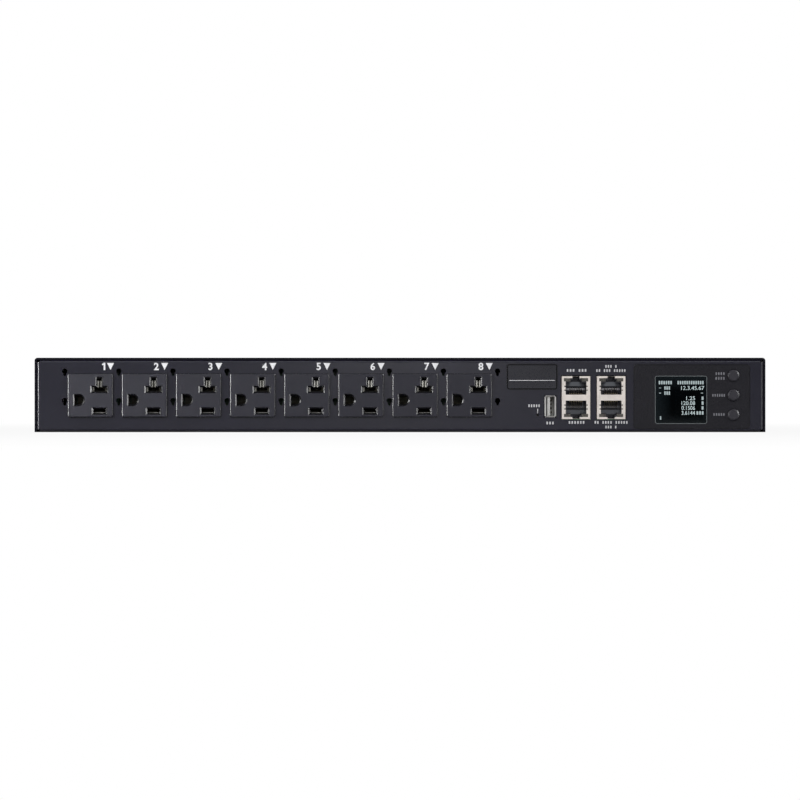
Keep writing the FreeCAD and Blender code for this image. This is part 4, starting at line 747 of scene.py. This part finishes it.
def display_readings(glow, faint_glow):
    low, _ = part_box("display_window")
    for row, (digits, right, up) in enumerate(READINGS, start=1):
        name = f"reading_{row}"
        width = (len(digits) - GLYPH_GAP) * GLYPH_PITCH
        spot = (low.x + (right - width / 2) * MM, low.z + up * MM)
        mesh = text_mesh(name, digits, GLYPH_HEIGHT * MM, spot, LENS_Y, width=width * MM)
        add_piece(name, mesh, glow)
    outlines = []
    for left, right, up, count in DISPLAY_MARKS:
        outlines += mark_row(low.x + left * MM, low.x + right * MM, low.z + up * MM, MARK_HEIGHT * MM,
                             (count,), MARK_SHARE)
    for left, right, up in DISPLAY_DASHES:
        middle = low.z + up * MM
        outlines.append(rounded_bar(low.x + left * MM, low.x + right * MM, middle - DASH_HALF,
                                    middle + DASH_HALF, DASH_CORNER, steps=2))
    add_piece("display_marks", raised_outline("display_marks", outlines, LENS_Y), faint_glow)


# Screws

def cross_recess(name, spot, turn, ink):
    """A flat cross of painted shade where a screw's head has its cross recess; the turn about Z takes the
    front to the face it is on.
    """
    arm, half = 1.45 * MM, 0.24 * MM
    quarter = [(half, half), (half, arm), (-half, arm)]
    outline = []
    for step in range(4):
        cos, sin = round(math.cos(step * math.pi / 2)), round(math.sin(step * math.pi / 2))
        outline += [(x * cos - z * sin, x * sin + z * cos) for x, z in quarter]
    mesh = raised_outline(name, [outline], 0)
    mesh.transform(Matrix.Translation(spot) @ Matrix.Rotation(math.radians(turn), 4, "Z"))
    add_piece(name, mesh, ink)


def screw_recesses(ink):
    """A cross of painted shade in every screw of the cover, the inlet and the ground point."""
    low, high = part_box("cover_screws")
    radius = (high.z - low.z) / 2
    for side, x, turn in (("left", low.x, -90), ("right", high.x, 90)):
        for number, y in enumerate((low.y + radius, (low.y + high.y) / 2, high.y - radius), start=1):
            cross_recess(f"{side}_recess_{number}", (x, y, low.z + radius), turn, ink)
    low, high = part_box("inlet_screws")
    radius = (high.z - low.z) / 2
    for number, x in enumerate((low.x + radius, high.x - radius), start=1):
        cross_recess(f"inlet_recess_{number}", (x, high.y, low.z + radius), 180, ink)
    low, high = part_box("ground_screw")
    cross_recess("ground_recess", ((low.x + high.x) / 2, high.y, (low.z + high.z) / 2), 180, ink)


# Studio

FLOOR_RADIUS = 1.0
# How white the floor shows near the middle, and the distances between which it turns fully white
FLOOR_WHITE = 0.92
FLOOR_SPAN = (0.35, 0.95)


def white_floor():
    """A pale floor that reads as white, apart from the shadow on it and the part under the case."""
    build = bmesh.new()
    bmesh.ops.create_circle(build, cap_ends=True, segments=96, radius=FLOOR_RADIUS)
    mesh = bpy.data.meshes.new("floor")
    build.to_mesh(mesh)
    build.free()
    floor = bpy.data.objects.new("floor", mesh)
    floor.location.z = CASE_LOW.z
    bpy.context.scene.collection.objects.link(floor)
    material, tree, shader = new_material("pale_floor")
    set_inputs(shader, Base_Color=(0.25, 0.25, 0.25), Roughness=0.9)
    white = tree.nodes.new("ShaderNodeEmission")
    set_inputs(white, Color=(1, 1, 1))
    reach = tree.nodes.new("ShaderNodeVectorMath")
    reach.operation = "LENGTH"
    tree.links.new(object_coords(tree), reach.inputs[0])
    axes = axes_of(tree, object_coords(tree))
    under = multiply(tree, calculate(tree, "COMPARE", axes["X"], 0.0, CASE_HIGH.x),
                     calculate(tree, "COMPARE", axes["Y"], 0.0, CASE_HIGH.y))
    seen = tree.nodes.new("ShaderNodeLightPath")
    share = multiply(tree, seen.outputs["Is Camera Ray"],
                     remap(tree, reach.outputs["Value"], FLOOR_WHITE, 1.0, FLOOR_SPAN))
    share = multiply(tree, share, calculate(tree, "SUBTRACT", 1.0, under))
    surface = mix_shaders(tree, share, shader.outputs["BSDF"], white.outputs["Emission"])
    tree.links.new(surface, tree.nodes["Material Output"].inputs["Surface"])
    mesh.materials.append(material)


DOME_STRENGTH = 0.25
# For reflections: strength overhead and the height over which the sky falls to it, strength in front and the
# depth over which it rises to full behind the object
CEILING, CEILING_SPAN = 0.4, (0.3, 0.9)
IN_FRONT, BEHIND_SPAN = 0.02, (-0.5, 0.5)


def studio_world():
    """White where it is seen; for reflections white behind, dim above, dark in front; a dome for light."""
    world = bpy.data.worlds.new("studio")
    bpy.context.scene.world = world
    world.use_nodes = True
    tree = world.node_tree
    dome = tree.nodes["Background"]
    white = tree.nodes.new("ShaderNodeBackground")
    around = tree.nodes.new("ShaderNodeBackground")
    for background in (dome, white, around):
        set_inputs(background, Color=(1, 1, 1))
    set_inputs(dome, Strength=DOME_STRENGTH)
    axes = axes_of(tree, tree.nodes.new("ShaderNodeTexCoord").outputs["Generated"])
    ceiling = remap(tree, axes["Z"], 1.0, CEILING, CEILING_SPAN)
    behind = remap(tree, axes["Y"], IN_FRONT, 1.0, BEHIND_SPAN)
    link_inputs(tree, around, Strength=multiply(tree, behind, ceiling))
    seen = tree.nodes.new("ShaderNodeLightPath").outputs
    mirrored = calculate(tree, "MAXIMUM", seen["Is Glossy Ray"], seen["Is Transmission Ray"])
    unseen = mix_shaders(tree, mirrored, dome.outputs["Background"], around.outputs["Background"])
    surface = mix_shaders(tree, seen["Is Camera Ray"], unseen, white.outputs["Background"])
    tree.links.new(surface, tree.nodes["World Output"].inputs["Surface"])


def light_group(name, state, nodes):
    """A light linking group that takes in only some nodes, or leaves them out."""
    group = bpy.data.collections.new(name)
    for node in nodes:
        group.objects.link(NODES[node])
    for member in group.collection_objects:
        member.light_linking.link_state = state
    return group


def soft_light(name, spot, aim, size, power, gloss_on=None, light_on=None):
    """A soft box that shows only in one group's gloss, or gives only diffuse light, to one group or all."""
    lamp = bpy.data.lights.new(name, "AREA")
    lamp.shape = "RECTANGLE"
    lamp.size, lamp.size_y = size
    lamp.energy = power
    holder = bpy.data.objects.new(name, lamp)
    holder.location = spot
    holder.rotation_euler = (Vector(aim) - Vector(spot)).to_track_quat("-Z", "Y").to_euler()
    holder.visible_diffuse = gloss_on is None
    holder.visible_glossy = gloss_on is not None
    holder.light_linking.receiver_collection = gloss_on or light_on
    bpy.context.scene.collection.objects.link(holder)


# Half of the case's height, at which the lamps aim, and the depth of the lamps far in front
AIM_HEIGHT = 0.022
FAR_Y = PANEL_Y - 2.6
# Dim panels far in front: name, middle, height, width, power
FRONT_PANELS = (("front_panel", 0.003, 0.27, 0.19, 0.66), ("front_left", -0.27, 0.29, 0.36, 0.18),
                ("front_right", 0.19, 0.27, 0.15, 0.15))


def studio_lights():
    """Soft boxes at both sides, in front and behind, one for the jacks alone, and lamps for the gloss.

    The gloss lamps are the side boxes again, dim panels in front, strips for the edges, three lamps for the
    outlets alone and one for the cover alone.
    """
    front = (0, PANEL_Y, AIM_HEIGHT)
    spared = light_group("cover_spared", "EXCLUDE", ["top_cover"])
    cover = light_group("cover_only", "INCLUDE", ["top_cover"])
    outlets = light_group("outlets_only", "INCLUDE", OUTLETS)
    inserts = light_group("inserts_only", "INCLUDE", JACK_INSERTS)
    for kind, group in (("box", None), ("gloss", spared)):
        soft_light(f"left_{kind}", (-0.80, PANEL_Y - 0.65, 0.42), front, (0.5, 0.6), 8, gloss_on=group)
        soft_light(f"right_{kind}", (1.25, PANEL_Y - 0.75, 0.62), front, (0.6, 0.8), 6, gloss_on=group)
    soft_light("fill", (0.3, PANEL_Y - 2.3, 1.0), front, (1.2, 1.2), 22)
    soft_light("back_box", (-0.5, 1.6, 0.9), (0, 0.1, AIM_HEIGHT), (1.2, 0.8), 24)
    soft_light("cover_sheen", (0, FAR_Y, 0.9), (0, 0, 0.04), (6.0, 1.0), 7, gloss_on=cover)
    for name, across, up, width, power in FRONT_PANELS:
        soft_light(name, (across, FAR_Y, up), (across, PANEL_Y, up), (width, 0.40), power, gloss_on=spared)
    soft_light("left_strip", (-0.66, PANEL_Y - 0.24, 0.19), front, (0.12, 0.35), 4.5, gloss_on=spared)
    soft_light("outlet_strip", (-0.66, PANEL_Y - 0.165, 0.14), front, (0.12, 0.35), 10, gloss_on=outlets)
    soft_light("outlet_side", (-0.45, PANEL_Y - 0.35, 0.20), front, (0.20, 0.30), 0.7, gloss_on=outlets)
    soft_light("outlet_low", (2.0, PANEL_Y - 0.18, 0.20), front, (0.36, 0.40), 10, gloss_on=outlets)
    soft_light("right_high", (1.0, PANEL_Y - 0.20, 0.42), front, (0.3, 0.3), 20, gloss_on=spared)
    soft_light("top_strip", (0, PANEL_Y - 0.60, 0.75), front, (1.6, 0.15), 2, gloss_on=spared)
    jacks_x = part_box(JACK_INSERTS[0])[1].x
    soft_light("jack_fill", (jacks_x, FAR_Y, 0.15), (jacks_x, PANEL_Y, AIM_HEIGHT), (0.5, 0.4), 43,
               light_on=inserts)


# The photograph spans 473.15 mm of the front panel's plane across its 800 pixels
CAMERA_DISTANCE = 2.5
VIEW_WIDTH = 0.47315
CAMERA_HEIGHT = 0.0190


def camera():
    data = bpy.data.cameras.new("camera")
    data.sensor_width = 36
    data.lens = data.sensor_width * CAMERA_DISTANCE / VIEW_WIDTH
    data.clip_end = 100
    holder = bpy.data.objects.new("camera", data)
    holder.location = (0, PANEL_Y - CAMERA_DISTANCE, CAMERA_HEIGHT)
    holder.rotation_euler = (math.radians(90), 0, 0)
    bpy.context.scene.collection.objects.link(holder)
    bpy.context.scene.camera = holder


dress_nodes()
white_ink = print_ink("white_ink", (0.78, 0.78, 0.80))
label_ink = print_ink("label_ink", (0.52, 0.52, 0.54))
grey_ink = print_ink("grey_ink", (0.16, 0.16, 0.18))
line_ink = print_ink("line_ink", (0.11, 0.125, 0.13))
painted_gap_shade = print_ink("painted_gap_shade", (0.004, 0.004, 0.006), specular=0.3)
# Dark flat colour of painted shade, for the gap around the plate and the crosses of the screws
painted_shade = print_ink("painted_shade", (0.0022, 0.0022, 0.0028), specular=0.15)
outlet_marks(white_ink)
port_marks(label_ink)
button_marks(grey_ink)
plate_rule(white_ink)
# Painted shade: a dark line stands for the gap around the name plate
edge_line("plate_border", "name_plate", 0.55 * MM, 1.3 * MM, painted_shade)
# Painted shade: a dark line stands for the shadow along the overlay's edge
edge_line("overlay_border", "display_overlay", 0.30 * MM, 1.8 * MM, painted_gap_shade)
edge_line("window_line", "display_window", 0.35 * MM, 1.3 * MM, line_ink)
display_readings(lit_pixels("lit_pixels", 0.92), lit_pixels("faint_pixels", 0.58))
screw_recesses(painted_shade)
white_floor()
studio_world()
studio_lights()
camera()
bpy.context.scene.view_settings.view_transform = "Standard"
